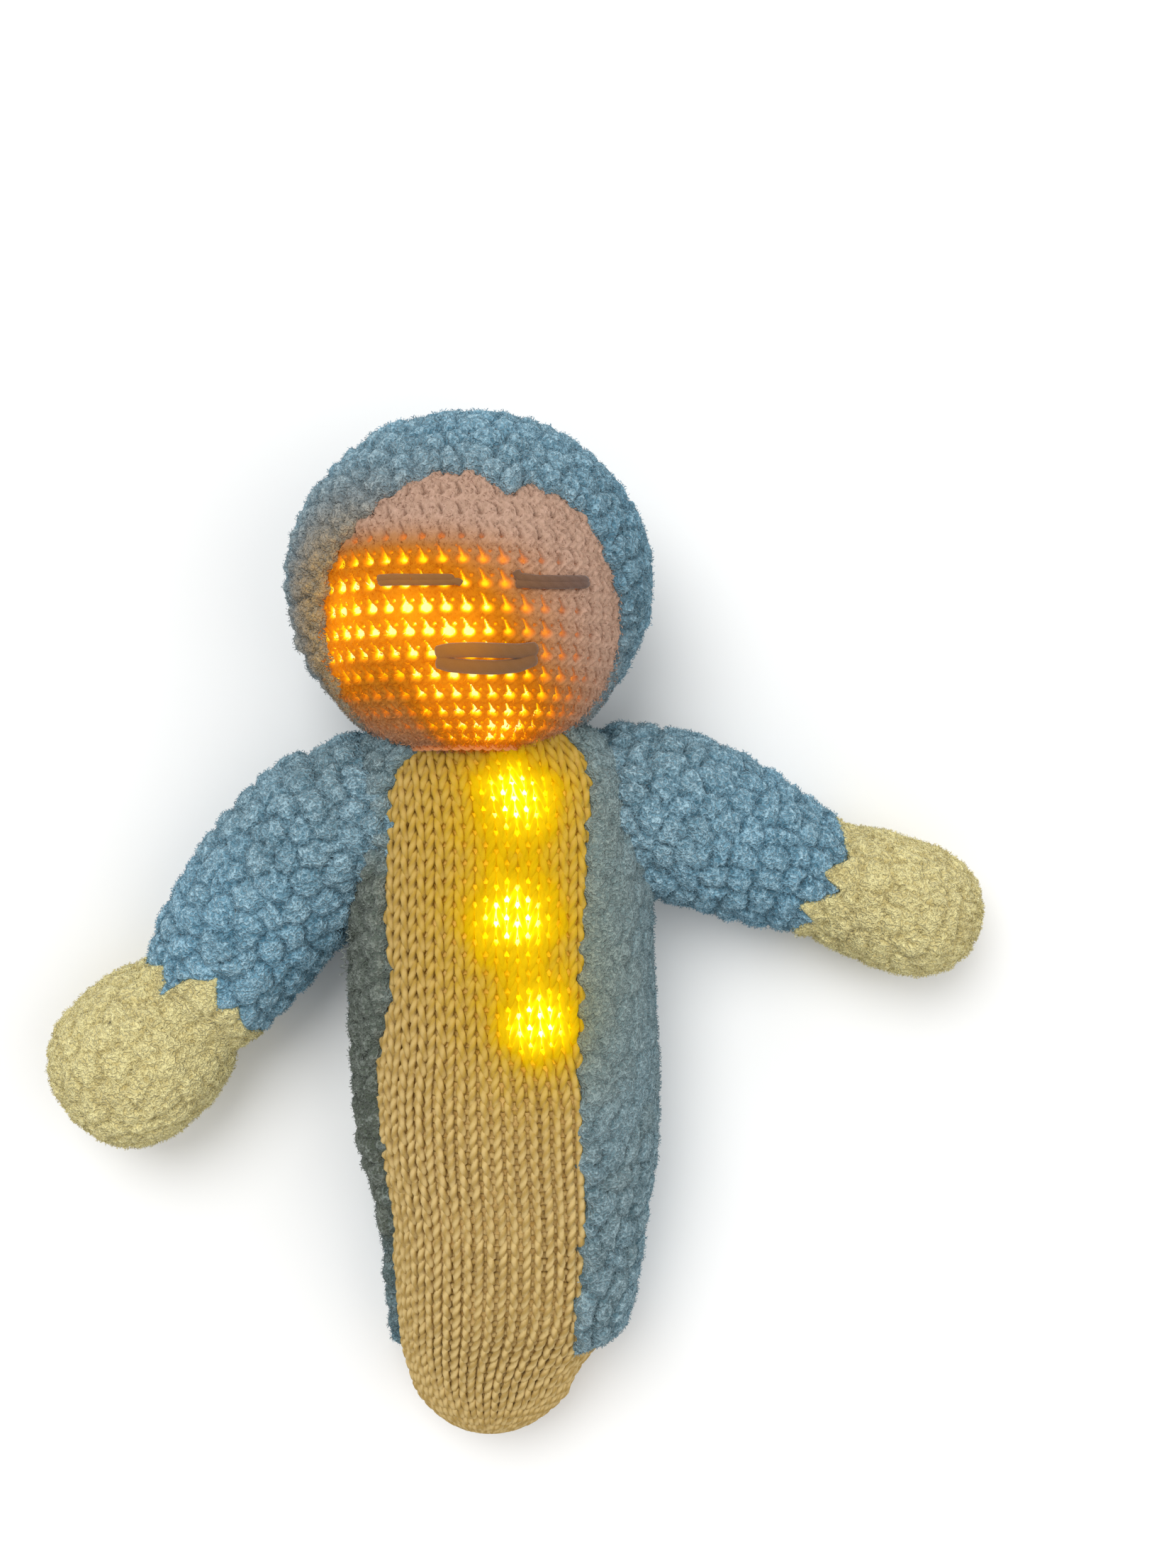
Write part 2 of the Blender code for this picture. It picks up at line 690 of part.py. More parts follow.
def light_bead(name, centre, direction, bore):
    """One resin drop on the wire."""
    direction = Vector(direction).normalized()
    across = direction.orthogonal().normalized()
    upright = direction.cross(across)

    def section(share):
        angle = math.pi * (share - 0.5)
        size = BEAD_RADIUS * math.cos(angle)
        middle = Vector(centre) + direction * (BEAD_HALF_LENGTH * math.sin(angle))
        return middle, across * size, upright * size

    bead = swollen(name, section, BEAD_SIDES, BEAD_RINGS, "warm_resin")
    return cut(bead, bore)


def directions_at(points, places):
    """The route's direction at each place, from its neighbours in the route."""
    found = []
    for place in places:
        index = min(range(len(points)), key=lambda i: (points[i] - Vector(place)).length)
        before, after = points[max(index - 1, 0)], points[min(index + 1, len(points) - 1)]
        found.append(after - before)
    return found


def build_light_string(prefix, route, lights):
    """A wire with its beads, and the cutter that makes room for it in the fill."""
    points = smooth_route(route, WIRE_STEP)
    wire = tube(prefix + "_light_wire", points, WIRE_RADIUS, "copper_wire")
    bore = tube(prefix + "_wire_bore", points, BEAD_BORE_RADIUS, resolution=1)
    ways = directions_at(points, lights.values())
    beads = [light_bead(name, place, way, bore) for (name, place), way in zip(lights.items(), ways)]
    room = smooth_route(route, CHANNEL_STEP)
    return wire, beads, tube(prefix + "_wire_channel", room, CHANNEL_RADIUS, resolution=1)


def build_body(sockets, sweeps, neck_cutters, floor, inner_rooms):
    """Coat, knitted front, fill and the flap in the back, which it returns."""
    inside = swollen("body_inside", body_section, BODY_SIDES, BODY_RINGS, grow=-COAT_WALL)
    shoulder_cutters = (*sockets, *sweeps)

    flap_low = FLAP_TOP_FROM_REST - FLAP_LENGTH
    deep = COAT_HALF_DEPTH / 2
    flap_room = box(
        "flap_room",
        (-FLAP_HALF_WIDTH - FLAP_GAP, flap_low - FLAP_GAP, -OVERRUN),
        (FLAP_HALF_WIDTH + FLAP_GAP, FLAP_TOP_FROM_REST + SEAM_GAP, deep),
    )
    flap_field = box(
        "flap_field",
        (-FLAP_HALF_WIDTH, flap_low, -OVERRUN),
        (FLAP_HALF_WIDTH, FLAP_TOP_FROM_REST, deep),
    )

    coat = swollen("coat", body_section, BODY_SIDES, BODY_RINGS, "chenille_blue")
    cut(coat, inside, panel_field("coat_front_room", SEAM_GAP), *neck_cutters)
    cut(coat, *shoulder_cutters, flap_room, floor)

    recess = PANEL_WALL - COAT_WALL
    panel = swollen("front_panel", body_section, BODY_SIDES, BODY_RINGS, "knit_cream", recess)
    cut(panel, inside)
    cut(panel, panel_field("front_field", 0.0), operation="INTERSECT")
    cut(panel, *neck_cutters, *shoulder_cutters, floor)

    flap = swollen("back_flap", body_section, BODY_SIDES, BODY_RINGS, "chenille_blue")
    cut(flap, inside)
    cut(flap, flap_field, operation="INTERSECT")
    cut(flap, floor)

    fill_gap = -COAT_WALL - SEAM_GAP
    fill = swollen("body_stuffing", body_section, BODY_SIDES, BODY_RINGS, "polyester_fill", fill_gap)
    cut(fill, *neck_cutters, *shoulder_cutters, *inner_rooms)
    return flap


def build_battery_box():
    """Box, cover, screw, cells, contacts and switch. Returns the box's corners and wire exit."""
    half = 2 * CELL_RADIUS + 1.5 * CELL_GAP + BOX_WALL
    bay_half = half - BOX_WALL
    top = BOX_TOP_FROM_REST
    bay_top = top - BOX_WALL
    bay_low = bay_top - CELL_LENGTH - CONTACT_ROOM
    switch_top = bay_low - SCREW_POST
    switch_low = switch_top - SWITCH_BAY_LENGTH
    low = switch_low - BOX_WALL
    base = above_back(half, low, top)
    cover_top = base + BOX_WALL
    bay_floor = cover_top + SEAM_GAP
    bay_roof = bay_floor + 2 * CELL_RADIUS + 2 * CELL_GAP
    roof = bay_roof + BOX_WALL
    cell_z = bay_floor + CELL_RADIUS + CELL_GAP
    cover_low = bay_low - SCREW_POST * COVER_LAP_SHARE
    screw_y = (bay_low + cover_low) / 2

    tray = box("battery_box", (-half, low, base), (half, top, roof), "white_abs")
    bay = box("cell_bay", (-bay_half, bay_low, base - OVERRUN), (bay_half, bay_top, bay_roof))
    cover_low_corner = (-half - OVERRUN, cover_low - SEAM_GAP, base - OVERRUN)
    cover_room = box("cover_room", cover_low_corner, (half + OVERRUN, top + OVERRUN, bay_floor))
    switch_bay = box("switch_bay", (-bay_half, switch_low, cover_top), (bay_half, switch_top, bay_roof))
    slot_low = switch_low + SLIDER_END_MARGIN
    slot_length = 2 * SLIDER_HALF_LENGTH + SLIDER_TRAVEL + 2 * SEAM_GAP
    slot_half = SLIDER_HALF_WIDTH + SEAM_GAP
    slot_high_corner = (slot_half, slot_low + slot_length, cover_top + SEAM_GAP)
    slot = box("slider_slot", (-slot_half, slot_low, base - OVERRUN), slot_high_corner)
    hole_end = (0, top + OVERRUN, cell_z)
    wire_hole = rod("box_wire_hole", (0, bay_top - OVERRUN, cell_z), hole_end, BEAD_BORE_RADIUS, 12)
    screw_room_top = base + SCREW_LENGTH + SEAM_GAP
    screw_hole = rod(
        "screw_hole",
        (0, screw_y, base - OVERRUN),
        (0, screw_y, screw_room_top),
        SCREW_RADIUS + SEAM_GAP,
        16,
    )
    cut(tray, bay, cover_room, switch_bay, slot, wire_hole, screw_hole)

    cover = box("battery_cover", (-half, cover_low, base), (half, top, cover_top), "white_abs")
    head_room = rod(
        "screw_head_room",
        (0, screw_y, base - OVERRUN),
        (0, screw_y, base + SCREW_HEAD_HEIGHT),
        SCREW_HEAD_RADIUS + SEAM_GAP,
        16,
    )
    cut(cover, screw_hole, head_room)

    head_end = (0, screw_y, base + SCREW_HEAD_HEIGHT - SEAM_GAP)
    screw = rod("cover_screw", (0, screw_y, base), head_end, SCREW_HEAD_RADIUS, 16, "nickel")
    shank_start = (0, screw_y, base + SCREW_HEAD_HEIGHT / 2)
    shank = rod("screw_shank", shank_start, (0, screw_y, base + SCREW_LENGTH), SCREW_RADIUS, 16)
    blade_depth = SCREW_HEAD_HEIGHT / 2
    for name, along_x in (("screw_slot_x", True), ("screw_slot_y", False)):
        reach = SCREW_HEAD_RADIUS * SCREW_SLOT_SHARE
        wide, tall = (reach, SCREW_SLOT) if along_x else (SCREW_SLOT, reach)
        low_corner = (-wide, screw_y - tall, base - OVERRUN)
        blade = box(name, low_corner, (wide, screw_y + tall, base + blade_depth))
        cut(screw, blade)
    cut(screw, shank, operation="UNION")

    plate_back = SEAM_GAP + CONTACT_PLATE
    for number, side in ((1, -1), (2, 1)):
        x = side * (CELL_RADIUS + CELL_GAP / 2)
        positive_end = bay_top if side < 0 else bay_low
        way = -1 if side < 0 else 1
        plate_near, plate_far = positive_end + way * SEAM_GAP, positive_end + way * plate_back
        plate_low = (x - CONTACT_HALF_WIDTH, min(plate_near, plate_far), cell_z - CONTACT_HALF_WIDTH)
        plate_high = (x + CONTACT_HALF_WIDTH, max(plate_near, plate_far), cell_z + CONTACT_HALF_WIDTH)
        box(f"contact_plate_{number}", plate_low, plate_high, "nickel")
        nub_tip = plate_far + way * CELL_GAP
        shoulder = nub_tip + way * CELL_NUB_LENGTH
        base_end = nub_tip + way * CELL_LENGTH
        cell_ends = (x, shoulder, cell_z), (x, base_end, cell_z)
        cell = rod(f"cell_{number}", *cell_ends, CELL_RADIUS, 20, "cell_jacket")
        nub_root = (x, shoulder + way * CELL_NUB_LENGTH, cell_z)
        nub = rod(f"cell_nub_{number}", (x, nub_tip, cell_z), nub_root, CELL_NUB_RADIUS, 12)
        cut(cell, nub, operation="UNION")
        negative_end = bay_low if side < 0 else bay_top
        first = base_end + way * (CELL_GAP + SPRING_WIRE_RADIUS)
        last = negative_end - way * (SEAM_GAP + SPRING_WIRE_RADIUS)
        coil = []
        count = round(SPRING_TURNS * SPRING_POINTS_PER_TURN)
        for i in range(count + 1):
            share = i / count
            radius = SPRING_NARROW_RADIUS + share * (SPRING_WIDE_RADIUS - SPRING_NARROW_RADIUS)
            angle = math.tau * SPRING_TURNS * share
            y = first + share * (last - first)
            coil.append((x + radius * math.cos(angle), y, cell_z + radius * math.sin(angle)))
        tube(f"contact_spring_{number}", coil, SPRING_WIRE_RADIUS, "nickel", resolution=1)

    plate_floor = cover_top + SEAM_GAP
    plate_top = plate_floor + SLIDER_PLATE_HEIGHT
    slider_y = slot_low + SEAM_GAP + SLIDER_HALF_LENGTH
    knob_low = (-SLIDER_HALF_WIDTH, -SLIDER_HALF_LENGTH, base - SLIDER_PROUD)
    knob = box("switch_slider", knob_low, (SLIDER_HALF_WIDTH, SLIDER_HALF_LENGTH, plate_top), "black_nylon")
    plate_half = SLIDER_HALF_WIDTH + SLIDER_PLATE_MARGIN
    plate_reach = SLIDER_HALF_LENGTH + SLIDER_PLATE_MARGIN / 2
    plate_corner = (plate_half, plate_reach, plate_top + SEAM_GAP / 2)
    plate = box("slider_plate", (-plate_half, -plate_reach, plate_floor), plate_corner)
    for piece in (knob, plate):
        piece.location.y = slider_y
    cut(knob, plate, operation="UNION")
    board_floor = plate_top + SEAM_GAP * 1.5
    edge = bay_half - SEAM_GAP
    board_low = (-edge, switch_low + SEAM_GAP, board_floor)
    board_high = (edge, switch_top - SEAM_GAP, board_floor + BOARD_THICKNESS)
    box("switch_board", board_low, board_high, "circuit_green")
    return Vector((-half, low, base)), Vector((half, top, roof)), Vector((0, top, cell_z))


def build_pouch(box_low, box_high, wire_exit):
    """Pouch round the battery box with its closing strips. Returns its room in the fill."""
    gap = Vector((SEAM_GAP, SEAM_GAP, SEAM_GAP))
    wall = Vector((POUCH_WALL, POUCH_WALL, POUCH_WALL))
    inner_low, inner_high = box_low - gap, box_high + gap
    outer_low, outer_high = inner_low - wall, inner_high + wall
    outer_low.z = above_back(outer_high.x, outer_low.y, outer_high.y)
    strip_low = FLAP_TOP_FROM_REST - FLAP_LENGTH + STRIP_MARGIN
    strip_high = strip_low + STRIP_LENGTH
    hook_low = above_back(STRIP_HALF_WIDTH, strip_low, strip_high)
    hook_top = hook_low + STRIP_THICKNESS
    loop_low = hook_top + SEAM_GAP
    loop_top = loop_low + STRIP_THICKNESS
    hem_low, hem_top = loop_top + SEAM_GAP, loop_top + SEAM_GAP + POUCH_WALL
    hem_half = STRIP_HALF_WIDTH + STRIP_MARGIN

    pouch = box("battery_pouch", outer_low, outer_high, "knit_cream")
    hem_high = (hem_half, outer_low.y + POUCH_WALL / 2, hem_top)
    hem = box("pouch_hem", (-hem_half, strip_low - STRIP_MARGIN, hem_low), hem_high)
    inner_low.z = -OVERRUN
    hollow = box("pouch_hollow", inner_low, inner_high)
    mouth = rod(
        "pouch_wire_hole",
        (0, outer_high.y - OVERRUN, wire_exit.z),
        (0, outer_high.y + OVERRUN, wire_exit.z),
        CHANNEL_RADIUS,
        12,
    )
    cut(pouch, hem, operation="UNION")
    cut(pouch, hollow, mouth)

    half = STRIP_HALF_WIDTH
    hook_low_corner = (-half, strip_low, hook_low)
    hook = box("hook_strip", hook_low_corner, (half, strip_high, hook_top), "black_nylon")
    box("loop_strip", (-half, strip_low, loop_low), (half, strip_high, loop_top), "black_nylon")

    room_low, room_high = outer_low - gap, outer_high + gap
    room_low.z = -OVERRUN
    room = box("pouch_room", room_low, room_high)
    hem_room_low = (-hem_half - SEAM_GAP, strip_low - STRIP_MARGIN - SEAM_GAP, -OVERRUN)
    hem_room = box("hem_room", hem_room_low, (hem_half + SEAM_GAP, outer_high.y, hem_top + SEAM_GAP))
    return hook, cut(room, hem_room, operation="UNION")


def build_head(floor):
    """Face ball, hood, fill, embroidery and lights. Returns the body's neck cutters."""
    frame = Matrix.Translation(HEAD)
    made = []

    def ball(name, radius, half_height, slot=None):
        return swollen(name, ball_section(HEAD, radius, half_height), HEAD_SIDES, HEAD_RINGS, slot)

    down = Vector((0, -1, 0))
    face = ball("face_ball", FACE_RADIUS, FACE_HALF_HEIGHT, "crochet_peach")
    face_inside = ball("face_inside", FACE_RADIUS - FACE_WALL, FACE_HALF_HEIGHT - FACE_WALL)
    opening_end = HEAD + down * (FACE_HALF_HEIGHT + OVERRUN)
    hood_end = HEAD + down * (HOOD_HALF_HEIGHT + 2 * OVERRUN)
    opening = rod("face_opening", HEAD, opening_end, FACE_OPENING_RADIUS, 16)
    cut(face, face_inside, opening)

    hood = ball("hood", HOOD_RADIUS, HOOD_HALF_HEIGHT, "chenille_blue")
    hood_inside = ball("hood_inside", FACE_RADIUS + SEAM_GAP, FACE_HALF_HEIGHT + SEAM_GAP)
    hood_neck = rod("hood_neck_room", HEAD, hood_end, HOOD_NECK_RADIUS, 32)
    tilt = math.radians(HOOD_WINDOW_TILT)
    turn = math.radians(HOOD_WINDOW_TURN)
    look = Vector((math.sin(turn), -math.sin(tilt), math.cos(tilt)))
    reach = HOOD_RADIUS + OVERRUN
    mouth_radius = reach * math.tan(math.radians(HOOD_WINDOW_HALF_ANGLE))
    window = rod("hood_window", HEAD, HEAD + look.normalized() * reach, 0, 32, end_radius=mouth_radius)
    cut(hood, hood_inside, window, hood_neck, floor)
    made += [face, hood]

    eye_lift = EYE_YARN_RADIUS + SEAM_GAP
    steps = [i / (EMBROIDERY_POINTS - 1) for i in range(EMBROIDERY_POINTS)]
    eye_y = -EYE_DROP_SHARE * FACE_HALF_HEIGHT
    for name, shares in (("left_eye", LEFT_EYE_SPAN_SHARES), ("right_eye", RIGHT_EYE_SPAN_SHARES)):
        start, end = (share * FACE_RADIUS for share in shares)
        points = [on_face(start + s * (end - start), eye_y, eye_lift) for s in steps]
        made.append(tube(name, points, EYE_YARN_RADIUS, "embroidery_plum"))
    mouth_lift = MOUTH_YARN_RADIUS + SEAM_GAP
    closed = 2 * MOUTH_YARN_RADIUS + SEAM_GAP * 2
    mouth_start, mouth_end = (share * FACE_RADIUS for share in MOUTH_SPAN_SHARES)
    mouth_drop = MOUTH_DROP_SHARE * FACE_HALF_HEIGHT
    for name, side in (("mouth_upper_strand", 1), ("mouth_lower_strand", -1)):
        points = []
        for s in steps:
            spread = closed + (MOUTH_OPENING - closed) * math.sin(math.pi * s)
            y = side * spread / 2 - mouth_drop + MOUTH_END_RISE * (2 * s - 1) ** 2
            x = mouth_start + s * (mouth_end - mouth_start)
            points.append(on_face(x, y, mouth_lift))
        made.append(tube(name, points, MOUTH_YARN_RADIUS, "embroidery_plum"))

    bead_depth = FACE_WALL + BEAD_ROOM + BEAD_RADIUS
    lights = {}
    for name, (x_share, y_share) in FACE_LIGHT_SHARES.items():
        lights[name] = on_face(x_share * FACE_RADIUS, y_share * FACE_HALF_HEIGHT, -bead_depth)
    neck_y = HEAD.y - FACE_HALF_HEIGHT + WIRE_NECK_GAP / 2
    start = Vector((HEAD.x, neck_y, HEAD.z))
    climb = [start, start + Vector((0, 2 * BEAD_RADIUS, 0))]
    chin = lights["face_light_chin"]
    climb.append(climb[-1].lerp(chin, 0.5) + Vector((0, BEAD_RADIUS, 0)))
    placed_lights = list(lights.values())
    last_step = (placed_lights[-1] - placed_lights[-2]).normalized()
    route = climb + placed_lights + [placed_lights[-1] + last_step * WIRE_TAIL]
    wire, beads, channel = build_light_string("head", route, lights)
    made += [wire, *beads]

    fill_radius = FACE_RADIUS - FACE_WALL - SEAM_GAP
    fill_section = ball_section(HEAD, fill_radius, FACE_HALF_HEIGHT - FACE_WALL - SEAM_GAP)
    fill = swollen("head_stuffing", fill_section, HEAD_SIDES, HEAD_RINGS, "polyester_fill")
    cut(fill, channel)
    made.append(fill)
    for piece in made:
        carried(piece, frame, "neck_pivot")

    seam_centre = HEAD + down * NECK_SEAM_FROM_CENTRE
    ring("neck_seam", seam_centre, down, NECK_SEAM_RADIUS, SEAM_YARN_RADIUS, "crochet_peach")
    seam_room = ring("neck_seam_room", seam_centre, down, NECK_SEAM_RADIUS, SEAM_YARN_RADIUS + SEAM_GAP)
    ball_room = ball("neck_ball_room", FACE_RADIUS + SEAM_GAP, FACE_HALF_HEIGHT + SEAM_GAP)
    return ball_room, seam_room


def chest_route(wire_exit):
    """The wire's way from the battery box past the chest lights to the neck, and the lights."""
    depth = COAT_WALL + BEAD_ROOM + BEAD_RADIUS
    lights = {}
    for name, (x_share, y_share) in CHEST_LIGHT_SHARES.items():
        x, y = x_share * COAT_HALF_WIDTH, TOE_Y + y_share * BODY_FORM_LENGTH
        lights[name] = Vector((x, y, body_height(x, y, depth, 1)))
    lower, _, upper = lights.values()
    exit_point = wire_exit + Vector((0, SEAM_GAP, 0))
    lead = exit_point + Vector((0, 2 * BEAD_RADIUS, 0))
    rise = lead.lerp(lower, 0.5) + Vector((0, BEAD_RADIUS, 0))
    neck_end = Vector((HEAD.x, HEAD.y - FACE_HALF_HEIGHT - WIRE_NECK_GAP / 2, HEAD.z))
    neck_lead = neck_end - Vector((0, 2 * BEAD_RADIUS, 0))
    bend = upper.lerp(neck_lead, 0.5)
    return [exit_point, lead, rise, *lights.values(), bend, neck_lead, neck_end], lights


def main():
    """Builds every piece in the order that they are cut by each other."""
    rest_low = (-3 * COAT_HALF_WIDTH - OVERRUN, -TOE_TO_REST - OVERRUN, -COAT_HALF_DEPTH)
    floor = box("floor_below_rest", rest_low, (3 * COAT_HALF_WIDTH + OVERRUN, 2 * HEAD_FROM_REST, 0))
    sockets, sweeps = [], []
    for side, arm in ARMS.items():
        socket, sweep = build_arm(side, arm, floor)
        sockets.append(socket)
        sweeps.append(sweep)
    neck_cutters = build_head(floor)
    box_low, box_high, wire_exit = build_battery_box()
    hook, pouch_room = build_pouch(box_low, box_high, wire_exit)
    route, lights = chest_route(wire_exit)
    channel = build_light_string("body", route, lights)[2]
    flap = build_body(sockets, sweeps, neck_cutters, floor, (channel, pouch_room))
    hinge = Matrix.Translation((0, FLAP_TOP_FROM_REST, 0))
    for piece in (flap, hook):
        carried(piece, hinge, "flap_hinge")


main()
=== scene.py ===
"""A light-up plush toy: chenille crochet, a knitted front and a crocheted face, lit from inside."""

import json
import logging
import math
from dataclasses import dataclass, field, replace
from enum import Enum
from itertools import product
from typing import Any, Callable, Sequence

import bpy
import numpy as np
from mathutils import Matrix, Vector

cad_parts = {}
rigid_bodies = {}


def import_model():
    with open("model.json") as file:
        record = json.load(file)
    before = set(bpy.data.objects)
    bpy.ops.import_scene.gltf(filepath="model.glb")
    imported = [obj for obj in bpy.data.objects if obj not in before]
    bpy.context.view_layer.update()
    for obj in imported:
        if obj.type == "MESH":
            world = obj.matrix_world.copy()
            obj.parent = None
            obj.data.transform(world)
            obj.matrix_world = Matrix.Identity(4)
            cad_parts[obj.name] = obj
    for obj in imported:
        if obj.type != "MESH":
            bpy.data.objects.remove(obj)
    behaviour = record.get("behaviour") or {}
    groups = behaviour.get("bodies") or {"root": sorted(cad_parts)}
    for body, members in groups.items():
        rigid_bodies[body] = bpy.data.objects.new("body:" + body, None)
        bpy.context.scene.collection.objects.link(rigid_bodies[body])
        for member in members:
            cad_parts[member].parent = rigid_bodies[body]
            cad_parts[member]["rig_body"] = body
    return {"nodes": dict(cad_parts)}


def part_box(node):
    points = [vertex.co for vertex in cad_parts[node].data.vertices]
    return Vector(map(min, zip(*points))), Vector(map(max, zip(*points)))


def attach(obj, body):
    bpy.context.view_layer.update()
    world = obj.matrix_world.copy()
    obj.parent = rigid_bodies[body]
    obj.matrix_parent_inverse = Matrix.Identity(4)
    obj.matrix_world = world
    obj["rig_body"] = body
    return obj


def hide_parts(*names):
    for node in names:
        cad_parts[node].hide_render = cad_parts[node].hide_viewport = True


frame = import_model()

LOG = logging.getLogger("plush_toy")
Array = np.ndarray
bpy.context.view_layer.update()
UP = np.array((0.0, 0.0, 1.0))
TURN = 2 * math.pi
# Values in a table of random numbers, and the primes that pick one for a cell of space
TABLE = 4096
PRIMES = (73856093, 19349663, 83492791)
# Height over which the body counts as its front, where light comes through
FRONT_HEIGHT = 0.03
# How far the lowest yarn stays over the plane that the toy lies on
FLOOR_GAP = 0.00005
# Distance between neighbouring points of a chenille surface
MESH_STEP = 0.00085


# Numbers, noise and curves


def linear(colour: str) -> tuple[float, float, float, float]:
    """Turns an sRGB hex colour to linear.

    Args:
        colour: the colour, as in #rrggbb.

    Returns:
        Its linear red, green, blue and alpha.
    """
    channels = [int(colour[i : i + 2], 16) / 255 for i in (1, 3, 5)]
    curve = [c / 12.92 if c <= 0.04045 else ((c + 0.055) / 1.055) ** 2.4 for c in channels]
    return (*curve, 1.0)


def smooth_column(table: Sequence[Sequence[float]], column: int, share: Array) -> Array:
    """One column of a table at shares of its first column, on a smooth curve through the rows.

    Args:
        table: rows of numbers whose first column rises.
        column: index of the column that is read.
        share: places in the first column.

    Returns:
        The column's values at those places.
    """
    rows = np.asarray(table, float)
    x, y = rows[:, 0], rows[:, column]
    last = len(x) - 1
    share = np.asarray(share, float)
    index = np.clip(np.searchsorted(x, share, side="right") - 1, 0, last - 1)
    numbers = np.arange(last + 1)
    before, after = np.maximum(numbers - 1, 0), np.minimum(numbers + 1, last)
    slope = (y[after] - y[before]) / (x[after] - x[before])
    span = x[index + 1] - x[index]
    t = (share - x[index]) / span
    rise = y[index + 1] - y[index]
    bend_start = slope[index] * span - rise
    bend_end = rise - slope[index + 1] * span
    return y[index] + t * rise + t * (1 - t) * ((1 - t) * bend_start + t * bend_end)


def eased(low: float, high: float, value: Array) -> Array:
    """0 below low, 1 above high, and a smooth step between them."""
    t = np.clip((np.asarray(value, float) - low) / (high - low), 0, 1)
    return t * t * (3 - 2 * t)


def unit(vectors: Array) -> Array:
    """The vectors at length 1."""
    return vectors / np.maximum(np.linalg.norm(vectors, axis=-1, keepdims=True), 1e-12)


def table_index(cell: Array) -> Array:
    """The place in a random table of each cell of space, given by three whole numbers."""
    return (cell[..., 0] * PRIMES[0] ^ cell[..., 1] * PRIMES[1] ^ cell[..., 2] * PRIMES[2]) & (TABLE - 1)


def soft_noise(points: Array, size: float, seed: int) -> Array:
    """A smooth random field from -1 to 1 whose blobs are about size across.

    Args:
        points: places, with x, y and z last.
        size: distance between the field's random values, in metres.
        seed: number that picks the field.

    Returns:
        The field's value at each place.
    """
    table = np.random.default_rng(seed).uniform(-1, 1, TABLE)
    cell = points / size
    base = np.floor(cell).astype(np.int64)
    part = cell - base
    part = part * part * (3 - 2 * part)
    total = np.zeros(points.shape[:-1])
    for corner in product((0, 1), repeat=3):
        weight = np.prod(np.where(np.array(corner) == 1, part, 1 - part), axis=-1)
        total += weight * table[table_index(base + np.array(corner))]
    return total


def cell_bumps(points: Array, size: float, seed: int) -> tuple[Array, Array]:
    """Small domes that lie close together and nowhere in line.

    Args:
        points: places, with x, y and z last.
        size: distance between domes, in metres.
        seed: number that picks their places.

    Returns:
        The domes' height from 0 to 1, and the seams between them from 0 to 1.
    """
    table = np.random.default_rng(seed).uniform(0, 1, (TABLE, 3))
    cell = points / size
    base = np.floor(cell).astype(np.int64)
    first = np.full(points.shape[:-1], 9.0)
    second = first.copy()
    for corner in product((-1, 0, 1), repeat=3):
        place = base + np.array(corner)
        gap = np.sum((cell - place - table[table_index(place)]) ** 2, axis=-1)
        second = np.minimum(second, np.maximum(first, gap))
        first = np.minimum(first, gap)
    seam = np.sqrt(second) - np.sqrt(first)
    return np.clip(1 - first / 0.85, 0, 1), np.clip(1 - seam / 0.30, 0, 1)


def nearest_two(points: Array, seeds: Array) -> tuple[Array, Array, Array]:
    """Finds the two seeds nearest to each point.

    Args:
        points: one row of x, y and z for each point.
        seeds: one row for each seed.

    Returns:
        The distances to the nearest and the second nearest seed, and the nearest one's index.
    """
    first, second = np.empty(len(points)), np.empty(len(points))
    index = np.empty(len(points), np.int64)
    seeds32 = seeds.astype(np.float32)
    for start in range(0, len(points), 4096):
        part = points[start : start + 4096].astype(np.float32)
        gaps = np.linalg.norm(part[:, None] - seeds32[None], axis=2)
        order = np.argpartition(gaps, 1, axis=1)[:, :2]
        pair = np.take_along_axis(gaps, order, axis=1)
        swap = pair[:, 0] > pair[:, 1]
        stop = start + len(part)
        first[start:stop], second[start:stop] = pair.min(axis=1), pair.max(axis=1)
        index[start:stop] = np.where(swap, order[:, 1], order[:, 0])
    return first, second, index


def centre_of(node: str) -> Array:
    """Middle of a CAD node's box."""
    return np.array(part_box(node)).mean(axis=0)


def walk_along(line: Array) -> Array:
    """Length walked from a line's start to each of its points."""
    steps = np.linalg.norm(np.diff(line, axis=0), axis=1)
    return np.concatenate([[0], np.cumsum(steps)])


def round_turn(count: int) -> Array:
    """Angles once round, without the last that meets the first."""
    return np.linspace(0, TURN, count, endpoint=False)


# Meshes


@dataclass
class Patch:
    """Part of a mesh.

    Args:
        verts: one row of x, y and z for each vertex.
        faces: vertex numbers, one row for each face.
        values: a number per vertex under each name that the materials read.
        uv: two numbers per face corner, or nothing.
    """

    verts: Array
    faces: Array
    values: dict[str, Array] = field(default_factory=dict)
    uv: Array | None = None


def grid_faces(rows: int, columns: int, closed: bool) -> Array:
    """Faces of a grid of points.

    Args:
        rows: how many rows of points.
        columns: how many points in a row.
        closed: whether the last column joins the first.

    Returns:
        Four vertex numbers for each face.
    """
    across = columns if closed else columns - 1
    i, j = np.meshgrid(np.arange(rows - 1), np.arange(across), indexing="ij")
    k = (j + 1) % columns
    corners = (i * columns + j, i * columns + k, (i + 1) * columns + k, (i + 1) * columns + j)
    return np.stack([c.ravel() for c in corners], axis=1)


def grid_patch(points: Array, closed: bool, values: dict[str, Array]) -> Patch:
    """A patch from a grid of points.

    Args:
        points: the grid, with x, y and z last.
        closed: whether its last column joins the first.
        values: numbers under each name, laid out as the grid is.

    Returns:
        The patch.
    """
    rows, columns = points.shape[:2]
    flat = {name: np.broadcast_to(value, (rows, columns)).ravel() for name, value in values.items()}
    return Patch(points.reshape(-1, 3), grid_faces(rows, columns, closed), flat)


